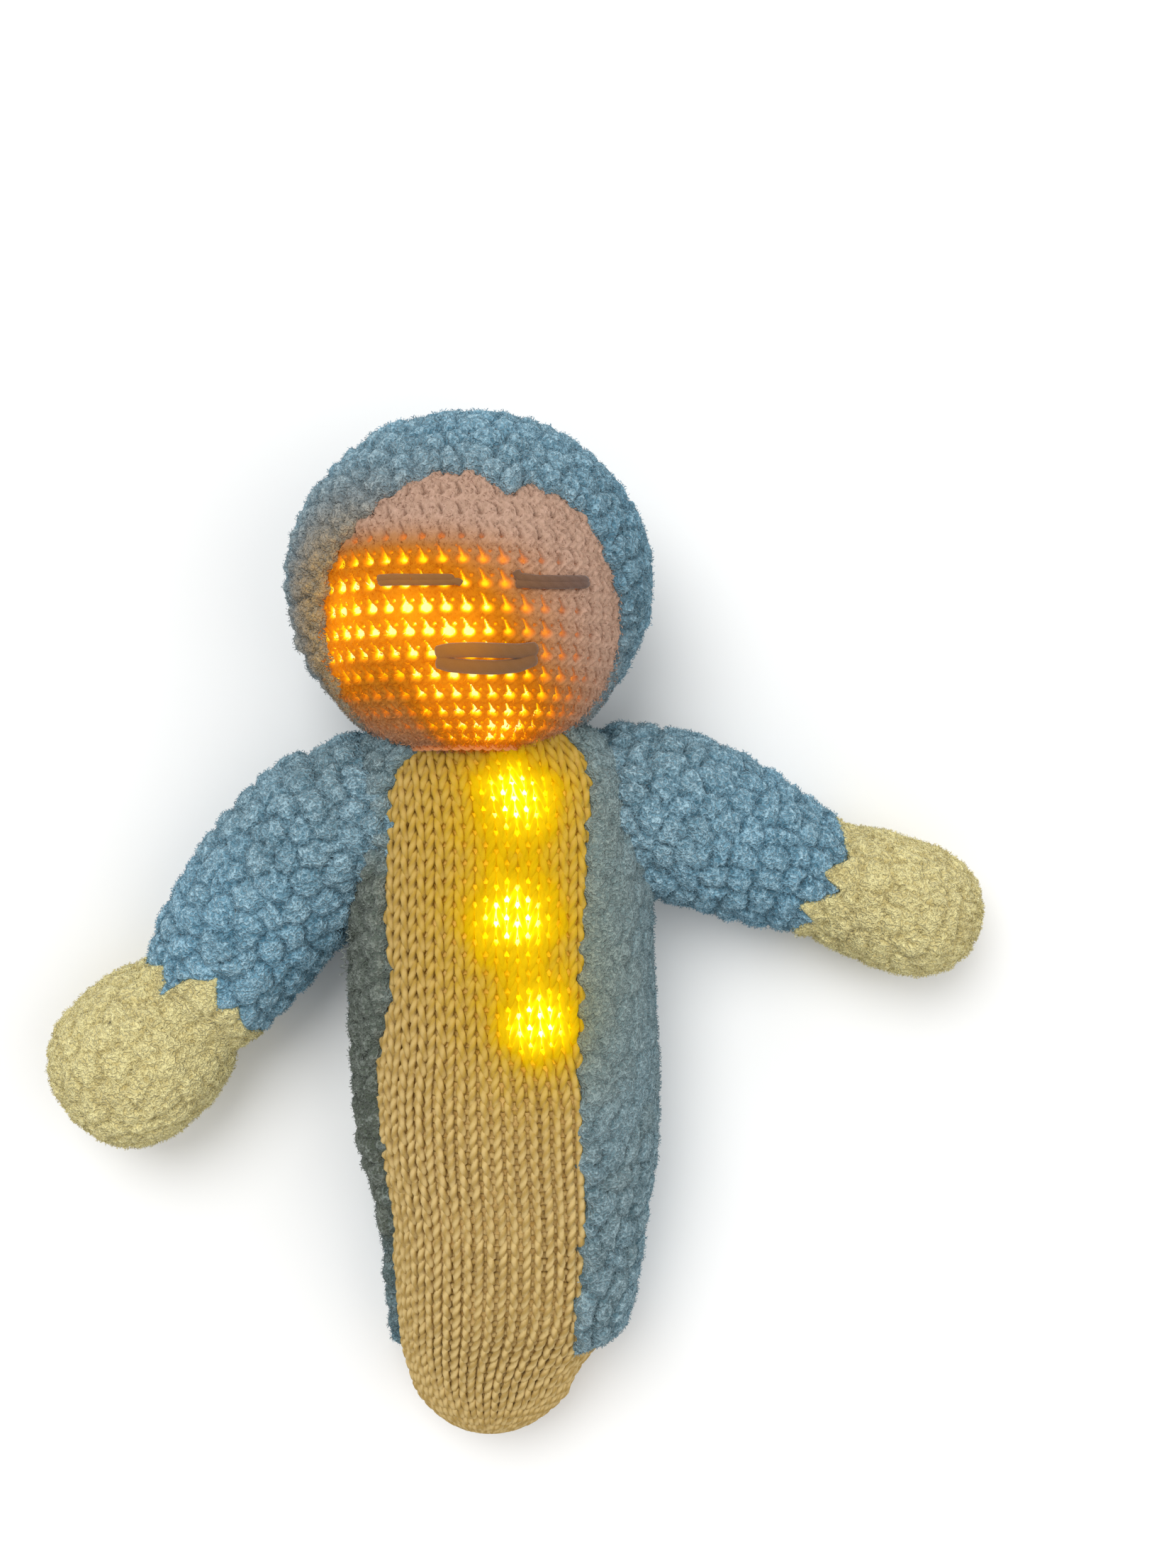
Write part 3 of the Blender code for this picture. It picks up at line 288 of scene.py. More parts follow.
def fill_mesh(mesh: bpy.types.Mesh, patches: Sequence[Patch]) -> None:
    """Writes patches into an empty mesh, with their values as attributes and their UV.

    Args:
        mesh: the mesh.
        patches: what it is made of.
    """
    verts = np.concatenate([p.verts for p in patches]).astype(np.float32)
    offsets = np.cumsum([0] + [len(p.verts) for p in patches])
    corners = np.concatenate([(p.faces + o).ravel() for p, o in zip(patches, offsets)])
    totals = np.concatenate([np.full(len(p.faces), p.faces.shape[1]) for p in patches])
    mesh.vertices.add(len(verts))
    mesh.vertices.foreach_set("co", verts.ravel())
    mesh.loops.add(len(corners))
    mesh.loops.foreach_set("vertex_index", corners.astype(np.int32))
    mesh.polygons.add(len(totals))
    starts = np.concatenate([[0], np.cumsum(totals)[:-1]])
    mesh.polygons.foreach_set("loop_start", starts.astype(np.int32))
    mesh.update(calc_edges=True)
    mesh.shade_smooth()
    for name in sorted({name for p in patches for name in p.values}):
        layer = mesh.attributes.new(name, "FLOAT", "POINT")
        parts = [p.values.get(name, np.zeros(len(p.verts))) for p in patches]
        layer.data.foreach_set("value", np.concatenate(parts).astype(np.float32))
    if any(p.uv is not None for p in patches):
        layer = mesh.uv_layers.new(name="strand")
        parts = [p.uv if p.uv is not None else np.zeros((p.faces.size, 2)) for p in patches]
        layer.data.foreach_set("uv", np.concatenate(parts).astype(np.float32).ravel())


def vertex_normals(points: Array, closed: bool) -> Array:
    """Outward normals of a grid, shared by the points of a row that meet in one place.

    Args:
        points: the grid, with x, y and z last.
        closed: whether its last column joins the first.

    Returns:
        A direction for each point.
    """
    mesh = bpy.data.meshes.new("normals")
    fill_mesh(mesh, [grid_patch(points, closed, {})])
    flat = np.empty(points.size, np.float32)
    mesh.vertex_normals.foreach_get("vector", flat)
    bpy.data.meshes.remove(mesh)
    normals = flat.reshape(points.shape).astype(float)
    for row, inner in ((0, 1), (-1, -2)):
        if np.ptp(points[row], axis=0).max() < 1e-6:
            normals[row] = unit(normals[inner].mean(axis=0))
    middle = points.reshape(-1, 3).mean(axis=0)
    facing = np.sum((points - middle) * normals, axis=-1).mean()
    return normals if facing > 0 else -normals


class Slot(Enum):
    """The record's material slots."""

    CHENILLE_BLUE = "chenille_blue"
    CHENILLE_CREAM = "chenille_cream"
    KNIT_CREAM = "knit_cream"
    CROCHET_PEACH = "crochet_peach"
    EMBROIDERY_PLUM = "embroidery_plum"
    POLYESTER_FILL = "polyester_fill"
    WARM_RESIN = "warm_resin"
    COPPER_WIRE = "copper_wire"
    WHITE_ABS = "white_abs"
    BLACK_NYLON = "black_nylon"
    NICKEL = "nickel"
    CELL_JACKET = "cell_jacket"
    CIRCUIT_GREEN = "circuit_green"


def make_piece(
    name: str,
    patches: Sequence[Patch],
    material: bpy.types.Material,
    node: str,
) -> None:
    """A piece of the toy from patches, which stands for a CAD node and rides as that does.

    Args:
        name: the piece's name.
        patches: what its mesh is made of.
        material: its finish.
        node: the CAD node that it replaces.
    """
    mesh = bpy.data.meshes.new(name)
    fill_mesh(mesh, patches)
    mesh.materials.append(material)
    piece = bpy.data.objects.new(name, mesh)
    bpy.context.scene.collection.objects.link(piece)
    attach(piece, frame["nodes"][node]["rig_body"])
    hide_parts(node)
    LOG.info("%s: %d faces", name, len(mesh.polygons))


def tube_patch(
    path: Array,
    radius: float | Array,
    facing: Array,
    sides: int,
    values: dict[str, Array] | None = None,
    closed: bool = False,
    flatness: float = 1.0,
) -> Patch:
    """A yarn along a path.

    Args:
        path: the points of its middle.
        radius: its radius, for all points or one for each.
        facing: for each point, a direction that is square to the cloth under it.
        sides: faces round it.
        values: a number per path point under each name.
        closed: whether the path's end meets its start.
        flatness: its thickness along facing, as a share of its width.

    Returns:
        The tube, whose UV runs along it in metres and once round it.
    """
    if closed:
        ahead = np.roll(path, -1, axis=0) - np.roll(path, 1, axis=0)
    else:
        ahead = np.gradient(path, axis=0)
    ahead = unit(ahead)
    across = unit(np.cross(ahead, facing))
    outward = np.cross(across, ahead)
    angle = np.arange(sides) / sides * TURN
    width = np.broadcast_to(np.asarray(radius, float), (len(path),))[:, None, None]
    ring = across[:, None] * np.cos(angle)[None, :, None] * width
    ring = ring + outward[:, None] * np.sin(angle)[None, :, None] * width * flatness
    points = path[:, None] + ring
    walked = walk_along(path)
    rows = len(path)
    if closed:
        points = np.concatenate([points, points[:1]])
        walked = np.append(walked, walked[-1] + np.linalg.norm(path[0] - path[-1]))
        rows += 1
    faces = grid_faces(rows, sides, True)
    i, j = np.meshgrid(np.arange(rows - 1), np.arange(sides), indexing="ij")
    i, j = i.ravel(), j.ravel()
    low, high, near, far = walked[i], walked[i + 1], j / sides, (j + 1) / sides
    uv = np.stack([low, near, low, far, high, far, high, near], axis=1).reshape(-1, 2)
    spread = {}
    for name, value in (values or {}).items():
        value = np.append(value, value[:1]) if closed else value
        spread[name] = np.repeat(value, sides)
    return Patch(points.reshape(-1, 3), faces, spread, uv)


def joined(patches: Sequence[Patch]) -> Patch:
    """Patches of faces of one size as one patch.

    Args:
        patches: patches with the same names of values.

    Returns:
        The one patch.
    """
    offsets = np.cumsum([0] + [len(p.verts) for p in patches])
    names = patches[0].values
    uv = None if patches[0].uv is None else np.concatenate([p.uv for p in patches])
    return Patch(
        np.concatenate([p.verts for p in patches]),
        np.concatenate([p.faces + o for p, o in zip(patches, offsets)]),
        {name: np.concatenate([p.values[name] for p in patches]) for name in names},
        uv,
    )


# Finishes


def add_node(
    tree: bpy.types.NodeTree,
    kind: str,
    settings: dict[str | int, Any] | None = None,
    links: dict[str | int, Any] | None = None,
) -> bpy.types.Node:
    """Adds a node, sets its properties and inputs, and links its inputs.

    Args:
        tree: the node tree of a material or of the world.
        kind: the node's type name, after ShaderNode.
        settings: values by property name, input name or input number. A hex colour becomes
            linear, and stops gives a colour ramp its places and colours.
        links: by input name or input number, a socket, or a node whose first output is meant.

    Returns:
        The node.
    """
    node = tree.nodes.new(f"ShaderNode{kind}")
    for key, value in (settings or {}).items():
        if key == "stops":
            elements = node.color_ramp.elements
            while len(elements) < len(value):
                elements.new(1.0)
            for element, (place, colour) in zip(elements, value):
                element.position = place
                element.color = linear(colour)
        elif isinstance(key, str) and key in node.bl_rna.properties:
            setattr(node, key, value)
        else:
            node.inputs[key].default_value = linear(value) if isinstance(value, str) else value
    for key, source in (links or {}).items():
        socket = source.outputs[0] if isinstance(source, bpy.types.Node) else source
        tree.links.new(socket, node.inputs[key])
    return node


# What a Math node does: LINE is input 0 times input 1 plus input 2, and HELD keeps it from 0 to 1
PLUS = {"operation": "ADD"}
TIMES = {"operation": "MULTIPLY"}
LINE = {"operation": "MULTIPLY_ADD"}
SINE = {"operation": "SINE"}
HELD = {"use_clamp": True}
# A Mix node for colours, whose factor is input 0, its colours inputs 6 and 7 and its result output 2
BLEND = {"data_type": "RGBA"}
# Noise in a few steps of detail, as fibres lie
FIBRES = {"Detail": 3.0, "Roughness": 0.6}


class Paint:
    """One material while its nodes are added."""

    def __init__(self, name: str) -> None:
        """Starts an empty material, with the mesh's own coordinates at hand in metres.

        Args:
            name: the material's name.
        """
        self.material = bpy.data.materials.new(name)
        self.material.use_nodes = True
        self.tree = self.material.node_tree
        self.tree.nodes.clear()
        self.place = self.add("TexCoord").outputs["Object"]

    def add(self, *details: Any) -> bpy.types.Node:
        """Adds a node to this material, as add_node does."""
        return add_node(self.tree, *details)

    def plied(self, twist: float, plies: float) -> tuple[bpy.types.Node, bpy.types.NodeSocket]:
        """Plies twisted round a yarn, whose UV runs along it in metres and once round it.

        Args:
            twist: metres along the yarn for one turn of a ply.
            plies: how many strands are twisted together.

        Returns:
            Their relief from 0 to 1, and the place round the yarn from 0 to 1.
        """
        strand = self.add("UVMap", {"uv_map": "strand"})
        parts = self.add("SeparateXYZ", None, {0: strand}).outputs
        along = self.add("Math", TIMES | {1: TURN / twist}, {0: parts["X"]})
        phase = self.add("Math", LINE | {1: TURN * plies}, {0: parts["Y"], 2: along})
        wave = self.add("Math", SINE, {0: phase})
        return self.add("Math", LINE | {1: 0.5, 2: 0.5}, {0: wave}), parts["Y"]

    def finished(self, settings: dict[str, Any], links: dict[str, Any]) -> bpy.types.Material:
        """Closes the material with its surface shader.

        Args:
            settings: values of the shader's inputs.
            links: what its other inputs take.

        Returns:
            The material.
        """
        shader = self.add("BsdfPrincipled", settings, links)
        self.add("OutputMaterial", None, {"Surface": shader})
        return self.material


@dataclass(frozen=True)
class Chenille:
    """Chenille yarn: a velvety pile, pale on its lobes and deep between the stitches in painted shade.

    A tuft of fibres is drawn coarser than the real 0.1 mm, so that it shows.
    """

    name: str
    # From the lobes' crowns into painted shade in the crevices
    tips: str
    middle: str
    deep: str
    # A dull pair for random wear and tone, for painted shade and for the chest lights' painted spill
    worn_and_shaded: str
    worn_and_shaded_deep: str
    # Painted light from the lamps, from warm to full
    warmed: str
    lit: str
    fibre: float = 0.0006
    curl: float = 0.0015
    patch: float = 0.030

    def build(self) -> bpy.types.Material:
        """Mixes the pile's colours by painted shade in its crevices, by tone and wear, and by painted light
        from the lamps.

        Returns:
            The material.
        """
        paint = Paint(self.name)
        add = paint.add
        crevice, tone, glow = (
            add("Attribute", {"attribute_name": name}).outputs["Fac"] for name in ("crevice", "tone", "glow")
        )
        tufts, waves, patches = (
            add("TexNoise", FIBRES | {"Scale": 1 / size, "Detail": detail}, {"Vector": paint.place})
            for size, detail in ((self.fibre, 2.0), (self.curl, 1.0), (self.patch, 1.0))
        )
        waves = add("Math", PLUS | {1: -0.5}, {0: waves})
        waves = add("Math", {"operation": "ABSOLUTE"}, {0: waves})
        curls = add("Math", TIMES | HELD | {1: 6.5}, {0: waves})
        level = add("Math", LINE | {1: 0.8, 2: -0.4}, {0: tufts})
        level = add("Math", LINE | {1: 0.55}, {0: curls, 2: level})
        # Painted shade in the crevices darkens the pile
        level = add("Math", LINE | HELD | {1: 0.95}, {0: crevice, 2: level})
        pile = add("ValToRGB", {"stops": ((0, self.tips), (0.4, self.middle), (1, self.deep))}, {0: level})
        dull = add("ValToRGB", {"stops": ((0, self.worn_and_shaded), (1, self.worn_and_shaded_deep))}, {0: level})
        # Tone is partly random and partly painted shade and painted light, and it turns the pile dull
        shade = add("Math", TIMES | HELD | {1: 0.6}, {0: tone})
        colour = add("Mix", BLEND, {0: shade, 6: pile, 7: dull}).outputs[2]
        wear = add("Math", PLUS | HELD | {1: -0.45}, {0: patches})
        wear = add("Math", TIMES | {1: 0.4}, {0: wear})
        colour = add("Mix", BLEND, {0: wear, 6: colour, 7: dull}).outputs[2]
        # Painted light: the lamps' glow warms the pile, less in its crevices
        warm = ((0, self.worn_and_shaded), (0.45, self.warmed), (1, self.lit))
        spill = add("ValToRGB", {"stops": warm}, {0: glow})
        sunk = add("Math", TIMES | {1: 0.45}, {0: level})
        spill = add("Mix", BLEND | {7: self.deep}, {0: sunk, 6: spill}).outputs[2]
        near = add("Math", TIMES | HELD | {1: 1.3}, {0: glow})
        colour = add("Mix", BLEND, {0: near, 6: colour, 7: spill}).outputs[2]
        height = add("Math", LINE | {1: -1.0}, {0: curls, 2: tufts})
        height = add("Math", PLUS | {1: 1.2}, {0: height})
        bump = add("Bump", {"Distance": 0.0009, "Strength": 0.9}, {"Height": height})
        settings = {"Roughness": 0.95, "Sheen Weight": 0.12, "Sheen Roughness": 0.5,
                    "Specular IOR Level": 0.15}
        return paint.finished(settings, {"Base Color": colour, "Normal": bump})


# Light that comes through the knitted front, off the fill and through the face, from dark to full
GLOW_STOPS = ((0, "#000000"), (0.30, "#140e00"), (0.48, "#5e4a00"), (0.68, "#ac9200"),
              (0.85, "#fff000"), (0.95, "#ffff40"), (1, "#ffffc8"))
FILL_STOPS = ((0, "#2c1f04"), (0.25, "#604400"), (0.5, "#b08c00"), (0.7, "#ffe800"),
              (0.85, "#ffffa0"), (1, "#fffff4"))
FACE_STOPS = ((0, "#000000"), (0.2, "#2c0e00"), (0.42, "#a04c00"), (0.62, "#dc8000"),
              (0.80, "#ffd000"), (0.92, "#fff020"), (1, "#ffffb0"))


@dataclass(frozen=True)
class Knit:
    """Cotton yarn of the knitted front: matt, plied, and glowing where a light lies under it."""

    name: str = "cotton_knit_cream"
    crown: str = "#cfb47a"
    # Groove is mostly painted shade between the plies, partly the fibres' grain; deep is painted shade; lit
    # is painted light over the lamps
    groove: str = "#a58645"
    deep: str = "#96763a"
    lit: str = "#c8a000"
    twist: float = 0.0042
    # Real fibres are finer; this wide, their grain shows
    fibre: float = 0.0005

    def build(self) -> bpy.types.Material:
        """Mixes the yarn's colours with painted shade and painted light, and lets light through most between
        the plies.

        Returns:
            The material.
        """
        paint = Paint(self.name)
        add = paint.add
        crevice, tone, glow = (
            add("Attribute", {"attribute_name": name}).outputs["Fac"] for name in ("crevice", "tone", "glow")
        )
        plies, around = paint.plied(self.twist, 2.0)
        fuzz = add("TexNoise", FIBRES | {"Scale": 1 / self.fibre}, {"Vector": paint.place})
        level = add("Math", TIMES | {1: 0.3}, {0: fuzz})
        level = add("Math", LINE | {1: 0.7}, {0: plies, 2: level})
        # The groove colour is mostly painted shade between the plies
        colour = add("ValToRGB", {"stops": ((0, self.groove), (0.75, self.crown))}, {0: level})
        # Painted shade: sunk loops and the darker chest
        shade = add("Math", LINE | {1: 0.25}, {0: crevice, 2: tone})
        colour = add("Mix", BLEND | {7: self.deep}, {0: shade, 6: colour}).outputs[2]
        # Painted light: the yarn warms over the lamps
        near = add("Math", TIMES | HELD | {1: 1.9}, {0: glow})
        colour = add("Mix", BLEND | {7: self.lit}, {0: near, 6: colour}).outputs[2]
        top = add("Math", TIMES | {1: TURN}, {0: around})
        top = add("Math", SINE, {0: top})
        flank = add("Math", LINE | HELD | {1: -1.0, 2: 1.0}, {0: top})
        leak = add("Math", LINE | {1: 0.45, 2: -0.207}, {0: flank})
        leak = add("Math", LINE | {1: 0.12}, {0: level, 2: leak})
        core = add("Math", TIMES, {0: glow, 1: glow})
        light = add("Math", LINE, {0: core, 1: leak, 2: glow})
        light = add("ValToRGB", {"stops": GLOW_STOPS}, {0: light})
        bump = add("Bump", {"Distance": 0.0005, "Strength": 0.8}, {"Height": level})
        settings = {"Roughness": 0.9, "Specular IOR Level": 0.1, "Emission Strength": 0.9}
        return paint.finished(settings, {"Base Color": colour, "Emission Color": light, "Normal": bump})


@dataclass(frozen=True)
class Crochet:
    """Fuzzy acrylic yarn of the face, with light leaking through the holes of its stitches."""

    name: str = "acrylic_crochet_peach"
    pale: str = "#c9a692"
    deep: str = "#a6866f"
    hollow: str = "#5a3a26"
    lit: str = "#b06c00"
    strand: float = 0.0009
    stretch: float = 2.6
    # Real fibres are finer; this wide, their grain shows
    fibre: float = 0.0004

    def build(self) -> bpy.types.Material:
        """Mixes the yarn's colours, darkens its holes with painted shade, and takes its light from the mesh's
        own values.

        Returns:
            The material.
        """
        paint = Paint(self.name)
        add = paint.add
        crevice, shine, glow = (
            add("Attribute", {"attribute_name": name}).outputs["Fac"] for name in ("crevice", "shine", "glow")
        )
        scale = (1 / self.strand, 1 / (self.strand * self.stretch), 1 / self.strand)
        place = add("Mapping", {"Scale": scale}, {"Vector": paint.place})
        strands = add("TexNoise", FIBRES | {"Scale": 1.0, "Detail": 2.0}, {"Vector": place})
        fuzz = add("TexNoise", FIBRES | {"Scale": 1 / self.fibre}, {"Vector": paint.place})
        level = add("Math", TIMES | {1: 0.4}, {0: fuzz})
        level = add("Math", LINE | {1: 0.7}, {0: strands, 2: level})
        colour = add("ValToRGB", {"stops": ((0.25, self.deep), (0.75, self.pale))}, {0: level})
        # Painted shade: the holes darken towards the hollow colour
        colour = add("Mix", BLEND | {7: self.hollow}, {0: crevice, 6: colour}).outputs[2]
        colour = add("Mix", BLEND | {7: self.lit}, {0: glow, 6: colour}).outputs[2]
        light = add("Math", LINE | {1: 0.1}, {0: strands, 2: shine})
        light = add("Math", PLUS | {1: -0.05}, {0: light})
        light = add("ValToRGB", {"stops": FACE_STOPS}, {0: light})
        bump = add("Bump", {"Distance": 0.0006, "Strength": 0.9}, {"Height": level})
        settings = {"Roughness": 0.9, "Specular IOR Level": 0.2, "Emission Strength": 1.0}
        return paint.finished(settings, {"Base Color": colour, "Emission Color": light, "Normal": bump})


@dataclass(frozen=True)
class Stuffing:
    """Polyester fill: soft wisps, bright round the lights in it."""

    name: str = "polyester_fibre_fill"
    crown: str = "#dcc284"
    hollow: str = "#b8924c"
    lit: str = "#cc9c00"
    wisp: float = 0.003

    def build(self) -> bpy.types.Material:
        """Mixes the fill's colours and its light.

        Returns:
            The material.
        """
        paint = Paint(self.name)
        add = paint.add
        glow = add("Attribute", {"attribute_name": "glow"}).outputs["Fac"]
        wisps = add("TexNoise", FIBRES | {"Scale": 1 / self.wisp, "Detail": 5.0}, {"Vector": paint.place})
        colour = add("ValToRGB", {"stops": ((0.3, self.hollow), (0.7, self.crown))}, {0: wisps})
        near = add("Math", TIMES | HELD | {1: 2.2}, {0: glow})
        colour = add("Mix", BLEND | {7: self.lit}, {0: near, 6: colour}).outputs[2]
        light = add("ValToRGB", {"stops": FILL_STOPS}, {0: glow})
        bump = add("Bump", {"Distance": 0.0015, "Strength": 0.8}, {"Height": wisps})
        settings = {"Roughness": 1.0, "Sheen Weight": 0.3, "Emission Strength": 1.5}
        return paint.finished(settings, {"Base Color": colour, "Emission Color": light, "Normal": bump})


@dataclass(frozen=True)
class PliedYarn:
    """Sewing and embroidery yarn: a few plies twisted together."""

    name: str
    crown: str
    groove: str
    lit: str
    leak: float = 0.55
    twist: float = 0.0034
    # Real fibres are finer; this wide, their grain shows
    fibre: float = 0.0004

    def build(self) -> bpy.types.Material:
        """Mixes the yarn's colours and its light.

        Returns:
            The material.
        """
        paint = Paint(self.name)
        add = paint.add
        glow = add("Attribute", {"attribute_name": "glow"}).outputs["Fac"]
        plies, _ = paint.plied(self.twist, 3.0)
        fuzz = add("TexNoise", FIBRES | {"Scale": 1 / self.fibre}, {"Vector": paint.place})
        level = add("Math", TIMES | {1: 0.7}, {0: fuzz})
        level = add("Math", LINE | {1: 0.3}, {0: plies, 2: level})
        # The darker groove colour is partly the fibres' own grain and partly painted shade between the plies
        colour = add("ValToRGB", {"stops": ((0.1, self.groove), (0.8, self.crown))}, {0: level})
        colour = add("Mix", BLEND | {7: self.lit}, {0: glow, 6: colour}).outputs[2]
        light = add("Math", TIMES | {1: self.leak}, {0: glow})
        light = add("ValToRGB", {"stops": FACE_STOPS}, {0: light})
        bump = add("Bump", {"Distance": 0.0003, "Strength": 0.6}, {"Height": level})
        settings = {"Roughness": 0.85, "Sheen Weight": 0.25, "Emission Strength": 0.7}
        return paint.finished(settings, {"Base Color": colour, "Emission Color": light, "Normal": bump})


@dataclass(frozen=True)
class Solid:
    """A hard or sheet material: moulded plastic, plated metal, resin, lacquer or woven cloth."""

    name: str
    crown: str
    hollow: str
    grain: float
    relief: float
    roughness: float
    metallic: float = 0.0
    coat: float = 0.0
    glow: float = 0.0
    stretch: tuple = (1, 1, 1)

    def build(self) -> bpy.types.Material:
        """Lays a fine grain over one colour.

        Returns:
            The material.
        """
        paint = Paint(self.name)
        add = paint.add
        scale = tuple(1 / (self.grain * longer) for longer in self.stretch)
        place = add("Mapping", {"Scale": scale}, {"Vector": paint.place})
        grain = add("TexNoise", FIBRES | {"Scale": 1.0, "Detail": 4.0}, {"Vector": place})
        colour = add("ValToRGB", {"stops": ((0.3, self.hollow), (0.7, self.crown))}, {0: grain})
        bump = add("Bump", {"Distance": self.relief, "Strength": 0.6}, {"Height": grain})
        settings = {"Roughness": self.roughness, "Metallic": self.metallic, "Coat Weight": self.coat}
        links = {"Base Color": colour, "Normal": bump}
        if self.glow:
            settings["Emission Strength"] = self.glow
            light = add("ValToRGB", {"stops": ((0.2, "#ffb020"), (0.8, "#fff4c0"))}, {0: grain})
            links["Emission Color"] = light
        return paint.finished(settings, links)


@dataclass(frozen=True)
class Finishes:
    """Every material of the toy, made once."""

    blue: bpy.types.Material
    coat: bpy.types.Material
    cream: bpy.types.Material
    knit: bpy.types.Material
    crochet: bpy.types.Material
    plum: bpy.types.Material
    seam_peach: bpy.types.Material
    seam_blue: bpy.types.Material
    stuffing: bpy.types.Material
    tape: bpy.types.Material
    lining: bpy.types.Material
    hard: dict[Slot, bpy.types.Material]

    @classmethod
    def made(cls) -> "Finishes":
        """All of them, named for the real materials.

        Returns:
            The set that the pieces take their finishes from.
        """
        # Dyed chenille: greyed teal blue pile, with painted shade nearly slate where the loops meet
        blue = Chenille("polyester_chenille_blue", "#b8e0f2", "#84b4cb", "#4a7a91", "#9fa8a0",
                        "#535b4d", "#a58f74", "#d2aa62")
        # The same yarn on the body, where the chest lights turn it olive
        coat = replace(blue, name="polyester_chenille_blue_body", warmed="#a09d70", lit="#d0c060")
        # The same yarn in cream: butter yellow pile, with painted shade straw brown in the creases
        cream = Chenille("polyester_chenille_cream", "#fdf3b2", "#f4e7a5", "#d2c180", "#d6c894",
                         "#b0a070", "#e0cf80", "#ffe14a")
        # Embroidery cotton: dull plum brown, its plies just seen, amber where a light lies under it
        plum = PliedYarn("cotton_embroidery_plum", "#57413c", "#432f2c", "#8a5a00", 0.34)
        # Acrylic yarn that sews the head on: fuzzy peach strands that pass much of the face's light
        peach = PliedYarn("acrylic_seam_yarn_peach", "#c9a187", "#9c765c", "#d07c08", 0.6)
        # Polyester yarn that sews the arms on: pale teal, smooth and plied
        tie = PliedYarn("polyester_seam_yarn_blue", "#9dbcc6", "#54707a", "#cdbf5c")
        # Hook and loop tape: black woven nylon, dull, with a coarse nap
        tape = Solid("woven_nylon_tape_black", "#2b2b2e", "#141416", 0.0008, 0.0003, 0.75)
        # Lining cloth of the pouch: unbleached cotton in a plain weave
        lining = Solid("cotton_lining_cream", "#dccfa8", "#bfae82", 0.0010, 0.0003, 0.9)
        hard = {
            # Clear resin over each lamp: amber-white, glossy
            Slot.WARM_RESIN: Solid("cast_resin_warm", "#fff2c8", "#ffd880", 0.004, 0.00002, 0.15,
                                   coat=0.5, glow=2.0),
            # Enamelled copper: warm metal under a thin lacquer
            Slot.COPPER_WIRE: Solid("enamelled_copper", "#c87846", "#a35a30", 0.002, 0.00001, 0.3, 1.0, 0.4),
            # Moulded case: satin white with a faint spark-eroded grain
            Slot.WHITE_ABS: Solid("moulded_abs_white", "#eceae4", "#dedbd2", 0.0006, 0.00003, 0.45),
            # Plated spring steel: bright with fine drawing marks
            Slot.NICKEL: Solid("nickel_plated_steel", "#cfccc4", "#aaa69c", 0.0012, 0.00001, 0.22,
                               1.0, stretch=(6, 1, 1)),
            # Printed film round a dry cell: dark grey, slightly glossy
            Slot.CELL_JACKET: Solid("printed_cell_film_grey", "#5b6066", "#43474d", 0.008, 0.00001, 0.35,
                                    0.4, 0.3),
            # Circuit board under solder mask
            Slot.CIRCUIT_GREEN: Solid("solder_mask_green", "#2c7a48", "#1c5a34", 0.003, 0.00002, 0.3,
                                      coat=0.4),
            Slot.BLACK_NYLON: tape,
        }
        # Knitting cotton: straw yellow crowns, with painted shade ochre between the plies, matt
        knit = Knit()
        # Acrylic double crochet yarn: dusty peach with a short fuzz, with painted shade brown in the holes
        crochet = Crochet()
        # Spun polyester fill: cream wisps with soft hollows, seen only through gaps
        stuffing = Stuffing()
        return cls(
            blue.build(), coat.build(), cream.build(), knit.build(), crochet.build(), plum.build(),
            peach.build(), tie.build(), stuffing.build(), tape.build(), lining.build(),
            {slot: finish.build() for slot, finish in hard.items()},
        )


# Light under the yarn

# How far a lamp's light seems to come up through the fill
YARN_DEPTH = 0.006


@dataclass(frozen=True)
class Glow:
    """How bright yarn is by its distance from the lights under it.

    Args:
        lamps: the lights' places.
        core: radius of the bright middle.
        reach: radius of the halo, for all lights or one for each.
    """

    lamps: Array
    core: float
    reach: float | tuple

    def at(self, points: Array) -> Array:
        """Adds up the lights' brightness.

        Args:
            points: places, with x, y and z last.

        Returns:
            The brightness from 0 to 1 at each place.
        """
        total = np.zeros(points.shape[:-1])
        for lamp, reach in zip(self.lamps, np.broadcast_to(self.reach, len(self.lamps))):
            gap = np.linalg.norm(points - lamp, axis=-1)
            near = np.exp(-((gap / self.core) ** 2.4))
            wide = np.exp(-((gap / reach) ** 1.6))
            total = 1 - (1 - total) * (1 - np.clip(0.45 * near + 0.55 * wide, 0, 1))
        return total


# Chenille

FIBRE_LENGTH = 0.0012


